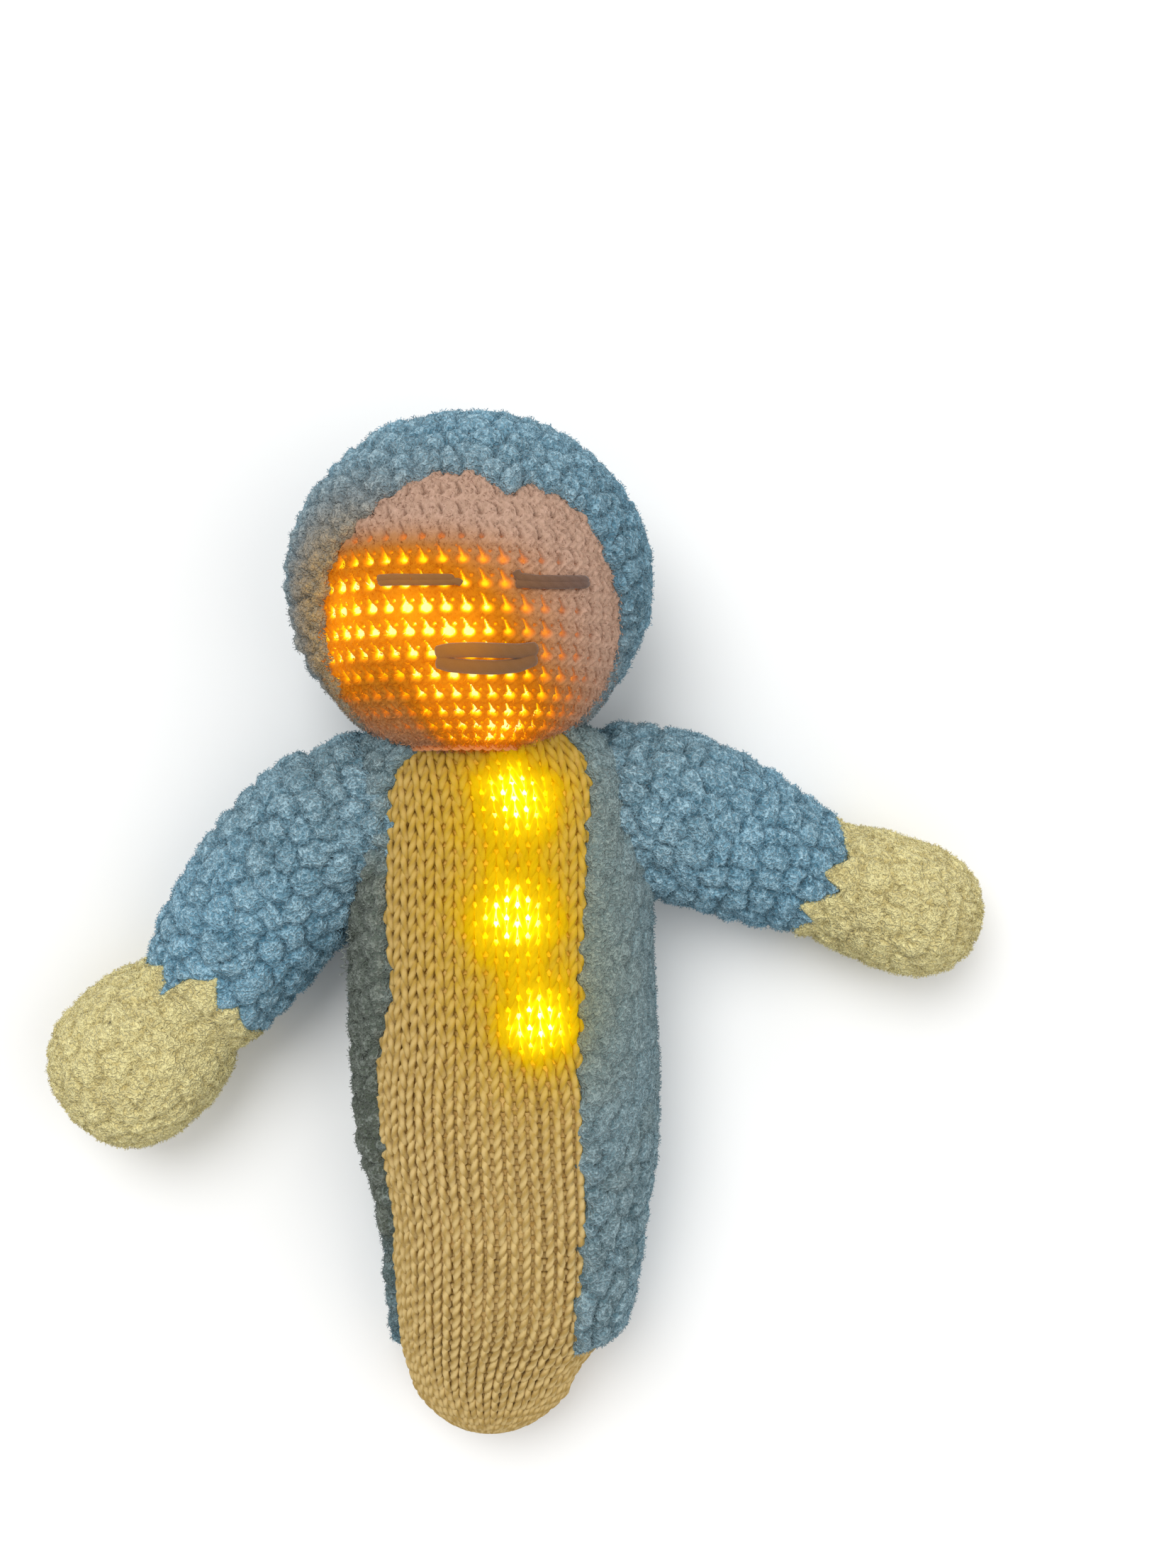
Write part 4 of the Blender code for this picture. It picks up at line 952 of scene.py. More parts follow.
@dataclass(frozen=True)
class Pile:
    """Chenille crochet: fat round stitches in rows, each a velvety lobe.

    Args:
        pitch: distance between lobes.
        rise: height of a lobe.
        roundness: distance from a lobe's edge over which it rises.
        clump: distance between the clumps of pile on a lobe.
        clump_rise: height of a clump.
        curl: distance between the curls on a clump.
        tuft: height of a curl.
        sunk: how far the seams lie under the smooth form.
        stray: how far the lobes' edges wander.
        fray: how far they waver on a small scale.
        seed: number that picks all that is random.
    """

    pitch: float = 0.0088
    rise: float = 0.0026
    roundness: float = 0.0055
    clump: float = 0.0044
    clump_rise: float = 0.0015
    curl: float = 0.0020
    tuft: float = 0.0008
    sunk: float = 0.0031
    stray: float = 0.0034
    fray: float = 0.0008
    seed: int = 7

    def raised(
        self, points: Array, closed: bool, seeds: Array, depth: Array | float = 0.0
    ) -> tuple[Array, dict[str, Array]]:
        """Moves a smooth grid out into lobes.

        Args:
            points: the grid.
            closed: whether its last column joins the first.
            seeds: the middle of each lobe.
            depth: how far each point is let in, in metres, such as along a rim.

        Returns:
            The moved grid, and the values that the finish reads.
        """
        normals = vertex_normals(points, closed)
        shape = points.shape[:2]
        flat = points.reshape(-1, 3)
        wander = np.stack([soft_noise(flat, 0.0085, self.seed + k) for k in (3, 4, 5)], axis=1)
        ripple = np.stack([soft_noise(flat, 0.0032, self.seed + k) for k in (6, 7, 8)], axis=1)
        first, second, index = nearest_two(flat + wander * self.stray + ripple * self.fray, seeds)
        rng = np.random.default_rng(self.seed)
        strength = rng.uniform(0.80, 1.15, len(seeds))[index]
        shade = rng.uniform(0.0, 1.0, len(seeds))[index]
        inner = np.clip((second - first) / self.roundness, 0, 1)
        cushion = np.sqrt(1 - (1 - inner) ** 2)
        bent = flat + wander * 0.0020 + ripple * 0.0011
        clump, seam = cell_bumps(bent, self.clump, self.seed + 1)
        curls, creases = cell_bumps(flat + ripple * 0.0007, self.curl, self.seed + 2)
        lift = cushion * strength * self.rise + np.sqrt(clump) * self.clump_rise
        lift = lift + (curls - 0.5) * self.tuft - self.sunk
        lift = lift.reshape(shape) - depth
        moved = points + normals * lift[..., None]
        broken = 0.5 + 0.5 * soft_noise(flat, 0.006, self.seed + 9)
        # Painted shade: darker in the seams between lobes and clumps and in creases, lighter on curls
        crevice = (1 - cushion) * 0.50 + seam**1.5 * broken * 0.66 + creases * 0.16 - 0.16 * curls
        crevice = np.clip(crevice, 0, 1).reshape(shape)
        return moved, {"crevice": crevice, "tone": shade.reshape(shape) * 0.2}


def ring_seeds(place: Callable[[Array, Array], Array], rows: Array, pitch: float, seed: int) -> Array:
    """Middles of lobes set in rings, each ring half a lobe on from the last.

    Args:
        place: gives points from angles and a ring's share.
        rows: the rings' shares.
        pitch: distance between lobes.
        seed: number that picks how they stray.

    Returns:
        One point for each lobe.
    """
    rng = np.random.default_rng(seed)
    fine = np.linspace(0, TURN, 73)
    found = []
    for number, share in enumerate(rows):
        length = walk_along(place(fine, np.full_like(fine, share)))[-1]
        count = max(1, round(length / pitch))
        turns = (np.arange(count) + 0.5 * (number % 2)) / count * TURN
        turns = turns + rng.normal(0, 0.11, count) * TURN / count
        found.append(place(turns, np.full(count, share)))
    points = np.concatenate(found)
    return points + rng.normal(0, 0.0006, points.shape)


def fibres(
    points: Array, normals: Array, values: dict[str, Array], count: int, length: float, seed: int
) -> Patch:
    """Loose fibres that stand off a surface.

    Args:
        points: places on the surface.
        normals: outward directions there.
        values: the surface's values there.
        count: how many fibres.
        length: the longest fibre.
        seed: number that picks them.

    Returns:
        One thin bent blade of two triangles for each fibre.
    """
    rng = np.random.default_rng(seed)
    pick = rng.integers(0, len(points), count)
    root, out = points[pick], normals[pick]
    lean = rng.normal(size=(count, 3))
    lean = unit(lean - out * np.sum(lean * out, axis=1, keepdims=True))
    side = np.cross(out, lean) * 0.00006
    size = (length * rng.uniform(0.45, 1.0, count) ** 1.3)[:, None]
    middle = root + out * size * 0.55 + lean * size * 0.2
    tip = root + out * size * 0.75 + lean * size * 0.65
    verts = np.stack([root - side, root + side, middle + side * 0.7, tip], axis=1).reshape(-1, 3)
    base = np.arange(count)[:, None] * 4
    faces = np.concatenate([base + np.array([0, 1, 2]), base + np.array([0, 2, 3])])
    spread = {name: np.repeat(value[pick], 4) for name, value in values.items()}
    # Painted shade: a fibre is darker at its root, lighter at its tip
    if "crevice" in spread:
        tipped = np.tile(np.array([0.4, 0.4, 0.15, 0.0]), count)
        spread["crevice"] = spread["crevice"] * 0.5 * (tipped > 0) + tipped * 0.4
    return Patch(verts, faces, spread)


def furred(points: Array, closed: bool, values: dict[str, Array], count: int, seed: int) -> list[Patch]:
    """A displaced chenille grid together with its loose fibres.

    Args:
        points: the grid.
        closed: whether its last column joins the first.
        values: the grid's values.
        count: how many fibres.
        seed: number that picks them.

    Returns:
        The surface's patch and the fibres' patch.
    """
    normals = vertex_normals(points, closed)
    patch = grid_patch(points, closed, values)
    loose = fibres(patch.verts, normals.reshape(-1, 3), patch.values, count, FIBRE_LENGTH, seed)
    loose.verts = on_floor(loose.verts)
    return [patch, loose]


def on_floor(points: Array) -> Array:
    """Points no lower than the plane that the toy lies on, pressed flat where they meet it."""
    return np.maximum(points, np.array((-np.inf, -np.inf, FLOOR_GAP)))


# Body


@dataclass(frozen=True)
class BodyForm:
    """The tube that the coat and the knitted front lie on, its toe at the low end of Y.

    Args:
        toe: where it starts along Y.
        length: its length.
        half_width: its half width where a station's width is 1.
        half_depth: its half depth where a station's depth is 1.
        stations: rows of share of the length, width, depth, offset to the side and height of
            its middle, the last four as shares of half_width and half_depth.
    """

    toe: float = -0.1525
    length: float = 0.2275
    half_width: float = 0.0445
    half_depth: float = 0.0363
    stations: tuple = (
        (0.000, 1.17, 0.98, -0.09, 0.55),
        (0.060, 1.16, 1.00, -0.07, 0.56),
        (0.096, 1.09, 0.99, -0.05, 0.59),
        (0.137, 1.08, 0.99, 0.00, 0.65),
        (0.173, 1.05, 0.99, 0.04, 0.73),
        (0.257, 0.97, 0.98, 0.07, 0.83),
        (0.327, 0.95, 0.97, 0.07, 0.89),
        (0.402, 0.99, 0.98, 0.05, 0.95),
        (0.477, 1.00, 0.99, 0.04, 0.968),
        (0.582, 1.02, 1.015, 0.01, 0.98),
        (0.692, 1.08, 1.08, 0.00, 0.978),
        (0.802, 1.24, 1.17, 0.00, 1.01),
        (0.868, 1.38, 1.20, -0.03, 1.10),
        (0.917, 1.46, 1.16, -0.08, 1.22),
        (0.950, 1.48, 1.28, -0.12, 1.30),
        (1.000, 1.40, 1.30, -0.18, 1.36),
    )

    def point(self, turn: Array, share: Array) -> Array:
        """Points of the tube.

        Args:
            turn: angles from +X towards the front.
            share: shares of its rings, from the toe (0) to the neck (1).

        Returns:
            The points.
        """
        along = (1 - np.cos(np.pi * np.asarray(share, float))) / 2
        width, depth, side, height = (smooth_column(self.stations, c, along) for c in (1, 2, 3, 4))
        swell = np.sin(np.pi * share)
        x = (side + width * swell * np.cos(turn)) * self.half_width
        y = self.toe + along * self.length
        z = (height + depth * swell * np.sin(turn)) * self.half_depth
        return np.stack(np.broadcast_arrays(x, y, z), axis=-1)

    def normal(self, turn: Array, share: Array) -> Array:
        """Outward directions of the tube.

        Args:
            turn: angles from +X towards the front.
            share: shares of its rings.

        Returns:
            A direction for each place.
        """
        share = np.clip(share, 0.004, 0.996)
        step = 1e-3
        round_it = self.point(turn + step, share) - self.point(turn - step, share)
        along_it = self.point(turn, share + step) - self.point(turn, share - step)
        return unit(np.cross(along_it, round_it))

    def lifted(self, turn: Array, share: Array, lift: Array | float) -> Array:
        """Points at a height over the tube."""
        lift = np.asarray(lift, float)
        return self.point(turn, share) + self.normal(turn, share) * lift[..., None]

    def share_at(self, y: Array) -> Array:
        """The share of the rings at a place along Y."""
        along = np.clip((np.asarray(y, float) - self.toe) / self.length, 0, 1)
        return np.arccos(1 - 2 * along) / np.pi

    def front_turn(self, x: Array, share: Array) -> Array:
        """Angles on the front of the tube.

        Args:
            x: places to the side.
            share: shares of its rings.

        Returns:
            The angle where the tube is at that x, short of the tube's own side.
        """
        along = (1 - np.cos(np.pi * np.asarray(share, float))) / 2
        width, side = (smooth_column(self.stations, c, along) for c in (1, 3))
        reach = width * np.sin(np.pi * share) * self.half_width
        return np.arccos(np.clip((x - side * self.half_width) / reach, -0.985, 0.985))

    def walked(self) -> tuple[Array, Array]:
        """Walks over the tube from the toe up, on four sides of it.

        Returns:
            Shares of the rings, and the mean length walked to each.
        """
        shares = np.linspace(0, 1, 801)
        lines = [self.point(np.full_like(shares, turn * np.pi), shares) for turn in (0.0, 0.5, 1.0, 1.5)]
        return shares, np.mean([walk_along(line) for line in lines], axis=0)


@dataclass(frozen=True)
class Opening:
    """Where the coat lies open over the knitted front, and where it ends above the toe.

    Args:
        half_width: the opening's half width where an edge is 1.
        toe_line: where the coat ends along Y.
        top: where the opening ends.
        edges: rows of share from toe_line to top, left edge and right edge.
    """

    half_width: float = 0.029
    toe_line: float = -0.1235
    top: float = 0.080
    edges: tuple = (
        (0.00, -1.40, 0.76),
        (0.07, -1.30, 0.80),
        (0.20, -1.15, 0.88),
        (0.32, -1.22, 0.85),
        (0.43, -1.27, 0.82),
        (0.54, -1.09, 0.84),
        (0.64, -1.16, 0.87),
        (0.75, -1.12, 0.91),
        (0.83, -1.08, 0.95),
        (0.877, -0.80, 0.86),
        (0.915, -0.42, 0.58),
        (0.95, -0.12, 0.22),
        (1.00, -0.05, 0.10),
    )

    def turns(self, form: BodyForm, share: Array) -> tuple[Array, Array]:
        """The opening's edges on the tube.

        Args:
            form: the tube.
            share: shares of its rings.

        Returns:
            Angles of the right and of the left edge.
        """
        along = (1 - np.cos(np.pi * np.asarray(share, float))) / 2
        y = form.toe + along * form.length
        place = np.clip((y - self.toe_line) / (self.top - self.toe_line), 0, 1)
        left = smooth_column(self.edges, 1, place) * self.half_width
        right = smooth_column(self.edges, 2, place) * self.half_width
        return form.front_turn(right, share), form.front_turn(left, share)


@dataclass(frozen=True)
class Sleeve:
    """One arm: a sleeve that starts as a ball in the shoulder, and a mitten hand.

    The arm's own X axis runs along it from the shoulder's centre.

    Args:
        side: left or right, as in the CAD nodes' names.
        shoulder: the shoulder's centre.
        heading: degrees from +X to the arm's axis.
        cuff: length to the end of the sleeve.
        reach: length from there to the hand's middle.
        bow: how far the arm bends to the side.
        near: the hand's half length towards the sleeve.
        far: its half length towards the tip.
        hand_width: its half width.
        hand_depth: its half depth.
        hand_height: height of its middle.
        radii: half widths along the sleeve, as shares of radius.
        swell_at: degrees from +X to where the shoulder stands out most.
        swell: how far it stands out there.
        cuff_line: degrees round the arm and millimetres along it where blue gives way to cream.
        radius: the shoulder ball's radius.
        root: share of the sleeve's rings that lie on the ball.
        past_cuff: how far the sleeve runs on inside the hand.
        over_cuff: how far the hand's root lies over the sleeve.
    """

    side: str
    shoulder: tuple
    heading: float
    cuff: float
    reach: float
    bow: float
    near: float
    far: float
    hand_width: float
    hand_depth: float
    hand_height: float
    radii: tuple
    swell_at: float
    swell: float
    cuff_line: tuple
    radius: float = 0.025
    root: float = 5 / 14
    past_cuff: float = 0.012
    over_cuff: float = 0.0002

    def world(self, local: Array) -> Array:
        """Points of the arm's own frame in the shared frame."""
        c, s = math.cos(math.radians(self.heading)), math.sin(math.radians(self.heading))
        return local @ np.array([[c, s, 0], [-s, c, 0], [0, 0, 1]]) + np.array(self.shoulder)

    def width_at(self, along: Array) -> Array:
        """The sleeve's half width at lengths along it from the shoulder."""
        rows = [(i / (len(self.radii) - 1), value) for i, value in enumerate(self.radii)]
        return smooth_column(rows, 1, np.clip(along / (self.cuff + self.past_cuff), 0, 1)) * self.radius

    def along(self, share: Array) -> Array:
        """Length along the arm of the sleeve's rings, past its ball-shaped root."""
        return np.clip((share - self.root) / (1 - self.root), 0, 1) * (self.cuff + self.past_cuff)

    def cuff_at(self, turn: Array) -> Array:
        """Length along the arm where blue yarn gives way to cream, at angles round it."""
        angles, lengths = np.array(self.cuff_line).T
        return np.interp(np.abs((np.degrees(turn) + 180) % 360 - 180), angles, lengths) / 1000

    def sleeve(self, turn: Array, share: Array) -> Array:
        """Points of the sleeve.

        Args:
            turn: angles round it.
            share: shares of its rings.

        Returns:
            The points.
        """
        share = np.asarray(share, float)
        drop = self.hand_height - self.shoulder[2]
        angle = np.pi / 2 * (np.minimum(share, self.root) / self.root - 1)
        along = self.along(share)
        cuffed = np.minimum(1.0, along / self.cuff)
        size = np.where(share < self.root, np.cos(angle) * self.radius, self.width_at(along))
        x = np.where(share < self.root, self.radius * np.sin(angle), along)
        bow = self.bow * np.sin(np.pi * cuffed**0.6)
        y = bow + size * np.cos(turn)
        z = drop * cuffed + size * np.sin(turn)
        return self.world(np.stack(np.broadcast_arrays(x, y, z), axis=-1))

    def swelling(self, points: Array) -> Array:
        """How the shoulder's top stands out past its ball, up beside the neck.

        Args:
            points: places on the sleeve.

        Returns:
            How far each is moved.
        """
        gap = points - np.array(self.shoulder)
        angle = math.radians(self.swell_at)
        facing = unit(gap) @ np.array([math.cos(angle), math.sin(angle), 0.0])
        near = 1 - eased(0.024, 0.045, np.linalg.norm(gap, axis=-1))
        return unit(gap) * (self.swell * near * np.clip(facing, 0, 1) ** 1.5)[..., None]

    def hand(self, turn: Array, way: Array) -> Array:
        """Points of the hand.

        Args:
            turn: angles round it.
            way: from its root (-1) over its middle (0) to its tip (1).

        Returns:
            The points.
        """
        way = np.asarray(way, float)
        drop = self.hand_height - self.shoulder[2]
        x = self.cuff + self.reach + np.where(way < 0, self.near, self.far) * way
        size = np.clip(1 - np.abs(way) ** 2.4, 0, 1) ** (1 / 2.4)
        cuffed = np.clip(x / self.cuff, 0, 1)
        inner = np.where(way < 0, self.width_at(x) + self.over_cuff, 0)
        y = self.bow * np.sin(np.pi * cuffed**0.6) + np.maximum(self.hand_width * size, inner) * np.cos(turn)
        z = drop * cuffed + np.maximum(self.hand_depth * size, inner) * np.sin(turn)
        return self.world(np.stack(np.broadcast_arrays(x, y, z), axis=-1))


LEFT_ARM = Sleeve(
    "left", (-0.03698, 0.032, 0.032997), 223.5, 0.0790, 0.0207, -0.0085, 0.0310, 0.0265,
    0.0262, 0.0240, 0.0232, (1.00, 1.01, 1.02, 1.01, 0.99, 0.95, 0.86, 0.73, 0.71), 125.0, 0.0042,
    ((0, 67.5), (17, 66.6), (26, 68.6), (54, 64.2), (66, 67.6), (79.5, 62.1), (97, 67.4), (113, 77.8),
     (125, 71.9), (150, 76.0), (172, 78.1), (180, 76.5)),
)
RIGHT_ARM = Sleeve(
    "right", (0.038003, 0.037, 0.032997), -18.9, 0.0620, 0.0238, 0.0030, 0.0400, 0.0255,
    0.0215, 0.0215, 0.0207, (1.00, 1.02, 1.02, 0.99, 0.94, 0.87, 0.80, 0.74, 0.72), 95.0, 0.0020,
    ((0, 59.5), (12, 60.0), (29.5, 61.2), (62, 64.9), (85.6, 59.4), (96.2, 65.2), (124.6, 56.8), (136, 61.5),
     (159, 57.4), (180, 60.5)),
)


@dataclass(frozen=True)
class Coat:
    """Chenille back and sides of the body, with its flap behind."""

    form: BodyForm
    opening: Opening
    finishes: Finishes
    glow: Glow
    pile: Pile = Pile(seed=11)
    columns: int = 280
    lap: float = 0.0046
    top: float = 0.0742
    scallop: float = 0.0011
    flap_half_width: float = 0.0175
    flap_low: float = -0.105
    flap_high: float = -0.025
    flap_gap: float = 0.0008

    def seeds(self) -> Array:
        """Sets the lobes in rings round the tube.

        Returns:
            Their middles.
        """
        shares, lengths = self.form.walked()
        rows = np.arange(self.pile.pitch / 2, lengths[-1], self.pile.pitch * 0.93)
        return ring_seeds(self.form.point, np.interp(rows, lengths, shares), self.pile.pitch, 3)

    def build(self) -> None:
        """Makes the coat and the flap."""
        form, opening = self.form, self.opening
        shares, lengths = form.walked()
        start, stop = (np.interp(form.share_at(y), shares, lengths) for y in (opening.toe_line, self.top))
        walk = np.linspace(start, stop, int((stop - start) / MESH_STEP))
        share = np.interp(walk, lengths, shares)[:, None]
        right, left = opening.turns(form, share[:, 0])
        scallop = self.scallop * np.sin(walk / self.pile.pitch * TURN)
        scallop = scallop + 0.0008 * soft_noise(np.stack([walk, walk * 0, walk * 0], 1), 0.012, 5)
        # Turned to angles by the tube's mean radius, and the left edge a few rows on from the right
        right, left = right + scallop / 0.04, left - np.roll(scallop, 4) / 0.04
        across = np.linspace(0, 1, self.columns)[None]
        span = right + TURN - left
        turn = right[:, None] - across * span[:, None]
        points = form.point(turn, share)
        # How far each point lies from the coat's sides, its toe line and the gap for the flap
        from_side = np.minimum(across, 1 - across) * (span * 0.041)[:, None]
        ragged = 0.0016 * soft_noise(points, 0.009, 15)
        from_toe = ((walk - start)[:, None] + ragged) * 0.5
        gap_x = np.abs(points[..., 0]) - self.flap_half_width
        gap_y = np.maximum(self.flap_low - points[..., 1], points[..., 1] - self.flap_high)
        behind = points[..., 2] < form.half_depth * 0.8
        from_flap = np.where(behind, np.maximum(gap_x, gap_y), 1.0)
        border = np.minimum(np.minimum(from_side, from_toe), np.maximum(from_flap, 0))
        inside = np.clip(1 - border / self.lap, 0, 1)
        depth = self.lap * (1 - np.sqrt(np.clip(1 - inside**2, 0, 1)))
        moved, values = self.pile.raised(points, False, self.seeds(), depth)
        # The right side is worn smooth beside the chest lights
        worn = eased(0.020, 0.030, points[..., 0]) * eased(0.012, 0.028, points[..., 2])
        worn = worn * (0.3 + 0.7 * eased(-0.075, -0.045, points[..., 1]))
        sunk = points - form.normal(turn, share) * depth[..., None]
        moved = moved + (sunk - moved) * (0.55 * worn)[..., None]
        values["crevice"] = values["crevice"] * (1 - 0.62 * worn) + 0.16 * worn
        # Painted light: the coat's front, beside the glowing knit, turns greyer and greener as the chest
        # lights' spill
        values["tone"] = values["tone"] + 0.75 * eased(0.018, 0.045, moved[..., 2])
        # Painted shade: the strip between the left arm and the knitted front is greyer and darker, as the
        # arm's shadow would make it
        painted_strip_shade = eased(0.022, 0.036, -moved[..., 0]) * eased(0.0, 0.042, moved[..., 2])
        painted_strip_shade = painted_strip_shade * (1 - eased(0.015, 0.035, moved[..., 1]))
        values["tone"] = values["tone"] + 0.9 * painted_strip_shade
        values["crevice"] = values["crevice"] + 0.40 * painted_strip_shade
        # Painted light: the chest lights' glow, on the coat's front only
        values["glow"] = 0.95 * self.glow.at(moved) * eased(0.026, 0.040, moved[..., 2])
        cloth, loose = furred(on_floor(moved), False, values, 42000, 21)
        in_gap = (from_flap < 0).ravel()[cloth.faces].all(axis=1)
        cloth.faces = cloth.faces[~in_gap]
        patches = [cloth, loose, *self.loose_ends()]
        make_piece("chenille_coat", patches, self.finishes.coat, "coat")
        self.build_flap()

    def loose_ends(self) -> list[Patch]:
        """Two curly threads and a small tuft that have worked out of the pile at the side.

        Returns:
            One patch for each thread, and two for the tuft.
        """
        ends = []
        line = np.linspace(0, 1, 90)
        facing = np.tile(UP, (len(line), 1))
        blank = np.zeros(len(line))
        values = {"crevice": blank, "tone": blank + 2.0, "glow": blank}
        # Top end along X and Y, length, number of curls, their width and the thread's radius
        for x, y, length, curls, width, radius in (
            (-0.0436, 0.0045, 0.0120, 5, 0.0009, 0.00014),
            (-0.0452, -0.0010, 0.0090, 4, 0.0007, 0.00014),
            (-0.0405, -0.0420, 0.0016, 1, 0.0011, 0.0006),
            (-0.0412, -0.0424, 0.0014, 1, 0.0009, 0.0006),
        ):
            turn = line * curls * TURN
            run = y - length * line + 0.3 * width * np.cos(turn)
            height = 0.046 + 0.0010 * np.cos(line * curls * 5.0)
            path = np.stack([x + width * np.sin(turn), run, height], axis=1)
            ends.append(tube_patch(path, radius, facing, 5, values))
        return ends

    def build_flap(self) -> None:
        """Makes the flap in the coat's back, as thick as the coat."""
        gap = self.flap_gap
        x = np.linspace(-self.flap_half_width + gap, self.flap_half_width - gap, 40)
        y = np.linspace(self.flap_low + gap, self.flap_high - 0.0002, 88)
        grid_y, grid_x = np.meshgrid(y, x, indexing="ij")
        share = self.form.share_at(grid_y)
        turn = -self.form.front_turn(grid_x, share)
        outer = self.form.point(turn, share)
        from_ends = np.minimum(grid_y - self.flap_low, self.flap_high - grid_y)
        border = np.minimum(self.flap_half_width - np.abs(grid_x), from_ends)
        inside = np.clip(1 - (border - gap) / (self.lap / 2), 0, 1)
        edge = self.lap / 2 * (1 - np.sqrt(np.clip(1 - inside**2, 0, 1)))
        moved, values = self.pile.raised(outer, False, self.seeds(), edge)
        inward = self.form.normal(turn, share)
        lining = outer - inward * (self.lap - 0.0008 - edge)[..., None]
        # Painted shade: the flap's lining side is half dark all over
        back = values["crevice"] * 0 + 0.5
        patches = furred(on_floor(moved), False, values, 5000, 22)
        liner = grid_patch(lining[:, ::-1], False, {"crevice": back, "tone": back * 0.4})
        make_piece("back_flap_chenille", [*patches, liner], self.finishes.blue,
                   "back_flap")


@dataclass(frozen=True)
class KnittedFront:
    """Stockinette front in real loops of yarn, which also wraps the toe."""

    form: BodyForm
    opening: Opening
    finishes: Finishes
    glow: Glow
    wales: int = 32
    lower_course: float = 0.0041
    chest_course: float = 0.0051
    lower_wale: float = 0.0072
    chest_wale: float = 0.0063
    waist: float = -0.035
    top: float = 0.0600
    yarn_radius: float = 0.00106
    level: float = -0.0038
    tuck: float = 0.06
    bend: float = 0.86
    per_stitch: int = 14

    def courses(self) -> tuple[Array, Array, Array]:
        """Sets the rows of stitches from the toe to the neck.

        Returns:
            For each row its walked length, its height, and 0 below the waist or 1 above.
        """
        shares, lengths = self.form.walked()
        change, stop = (np.interp(self.form.share_at(y), shares, lengths) for y in (self.waist, self.top))
        walk, rises, place = [], [], 0.0011
        while place < stop:
            upper = float(eased(change - 0.012, change + 0.012, place))
            rise = self.lower_course + upper * (self.chest_course - self.lower_course)
            walk.append(place)
            rises.append(rise)
            place += rise
        return np.array(walk), np.array(rises), eased(change - 0.012, change + 0.012, np.array(walk))

    def loop(self, walk: float, rise: float, upper: float) -> tuple[Array, Array, Array]:
        """One row of loops.

        Args:
            walk: length walked to it over the tube.
            rise: its height.
            upper: 0 below the waist, 1 above.

        Returns:
            Angles, shares of the rings and heights over the front's level along its yarn.
        """
        shares, lengths = self.form.walked()
        share = float(np.interp(walk, lengths, shares))
        along = (1 - math.cos(math.pi * share)) / 2
        width = float(smooth_column(self.form.stations, 1, along)) * math.sin(math.pi * share)
        across = width * self.form.half_width
        wale = self.lower_wale + upper * (self.chest_wale - self.lower_wale)
        step = min(TURN / self.wales, wale / across)
        y = self.form.toe + along * self.form.length
        right, left = (float(v) for v in self.opening.turns(self.form, share))
        if y < self.opening.toe_line + 0.004:
            low, high = -self.wales // 2, self.wales // 2
            step = TURN / self.wales
        else:
            low = (right - self.tuck - math.pi / 2) / step
            high = (left + self.tuck - math.pi / 2) / step
        first, last = round(low * self.per_stitch), round(high * self.per_stitch)
        t = np.arange(first, last + 1) / self.per_stitch * TURN
        slant = 0.165 + 0.05 * upper
        turn = np.pi / 2 + step * (t / TURN + slant * np.sin(2 * t))
        sway = 0.6 * soft_noise(np.stack([t * 0.2, t * 0 + walk * 300, t * 0], 1), 1.0, 9)
        place = walk - rise * (self.bend * np.cos(t)) + sway * 0.0003
        place = np.clip(place, 0.0006, lengths[-1])
        height = -0.0008 * np.cos(2 * t) - 0.0010 * (turn < right) - 0.0010 * (turn > left)
        return turn, np.interp(place, lengths, shares), height

    def build(self) -> None:
        """Makes all the rows as one piece."""
        walk, rises, upper = self.courses()
        patches = []
        for place, rise, loose in zip(walk, rises, upper):
            turn, share, height = self.loop(place, rise, loose)
            facing = self.form.normal(turn, share)
            path = self.form.lifted(turn, share, self.level + height)
            radius = self.yarn_radius * min(1.0, 0.55 + place / 0.03)
            uneven = 0.92 + 0.16 * soft_noise(path, 0.005, 8)
            # The chest is darker in painted shade, and the toe a little darker; loops that sink are darker in
            # painted shade too
            chest, toe = eased(-0.070, 0.010, path[:, 1]), 1 - eased(-0.145, -0.125, path[:, 1])
            values = {
                "crevice": np.clip(-height / 0.0008 * 0.55, 0, 1),
                "tone": 0.30 * chest + 0.10 * toe,
                "glow": self.glow.at(path) * (path[:, 2] > FRONT_HEIGHT) * uneven,
            }
            path = on_floor(path)
            path[:, 2] = np.maximum(path[:, 2], radius)
            patches.append(tube_patch(path, radius, facing, 7, values))
        make_piece("knitted_front", [joined(patches)], self.finishes.knit,
                   "front_panel")


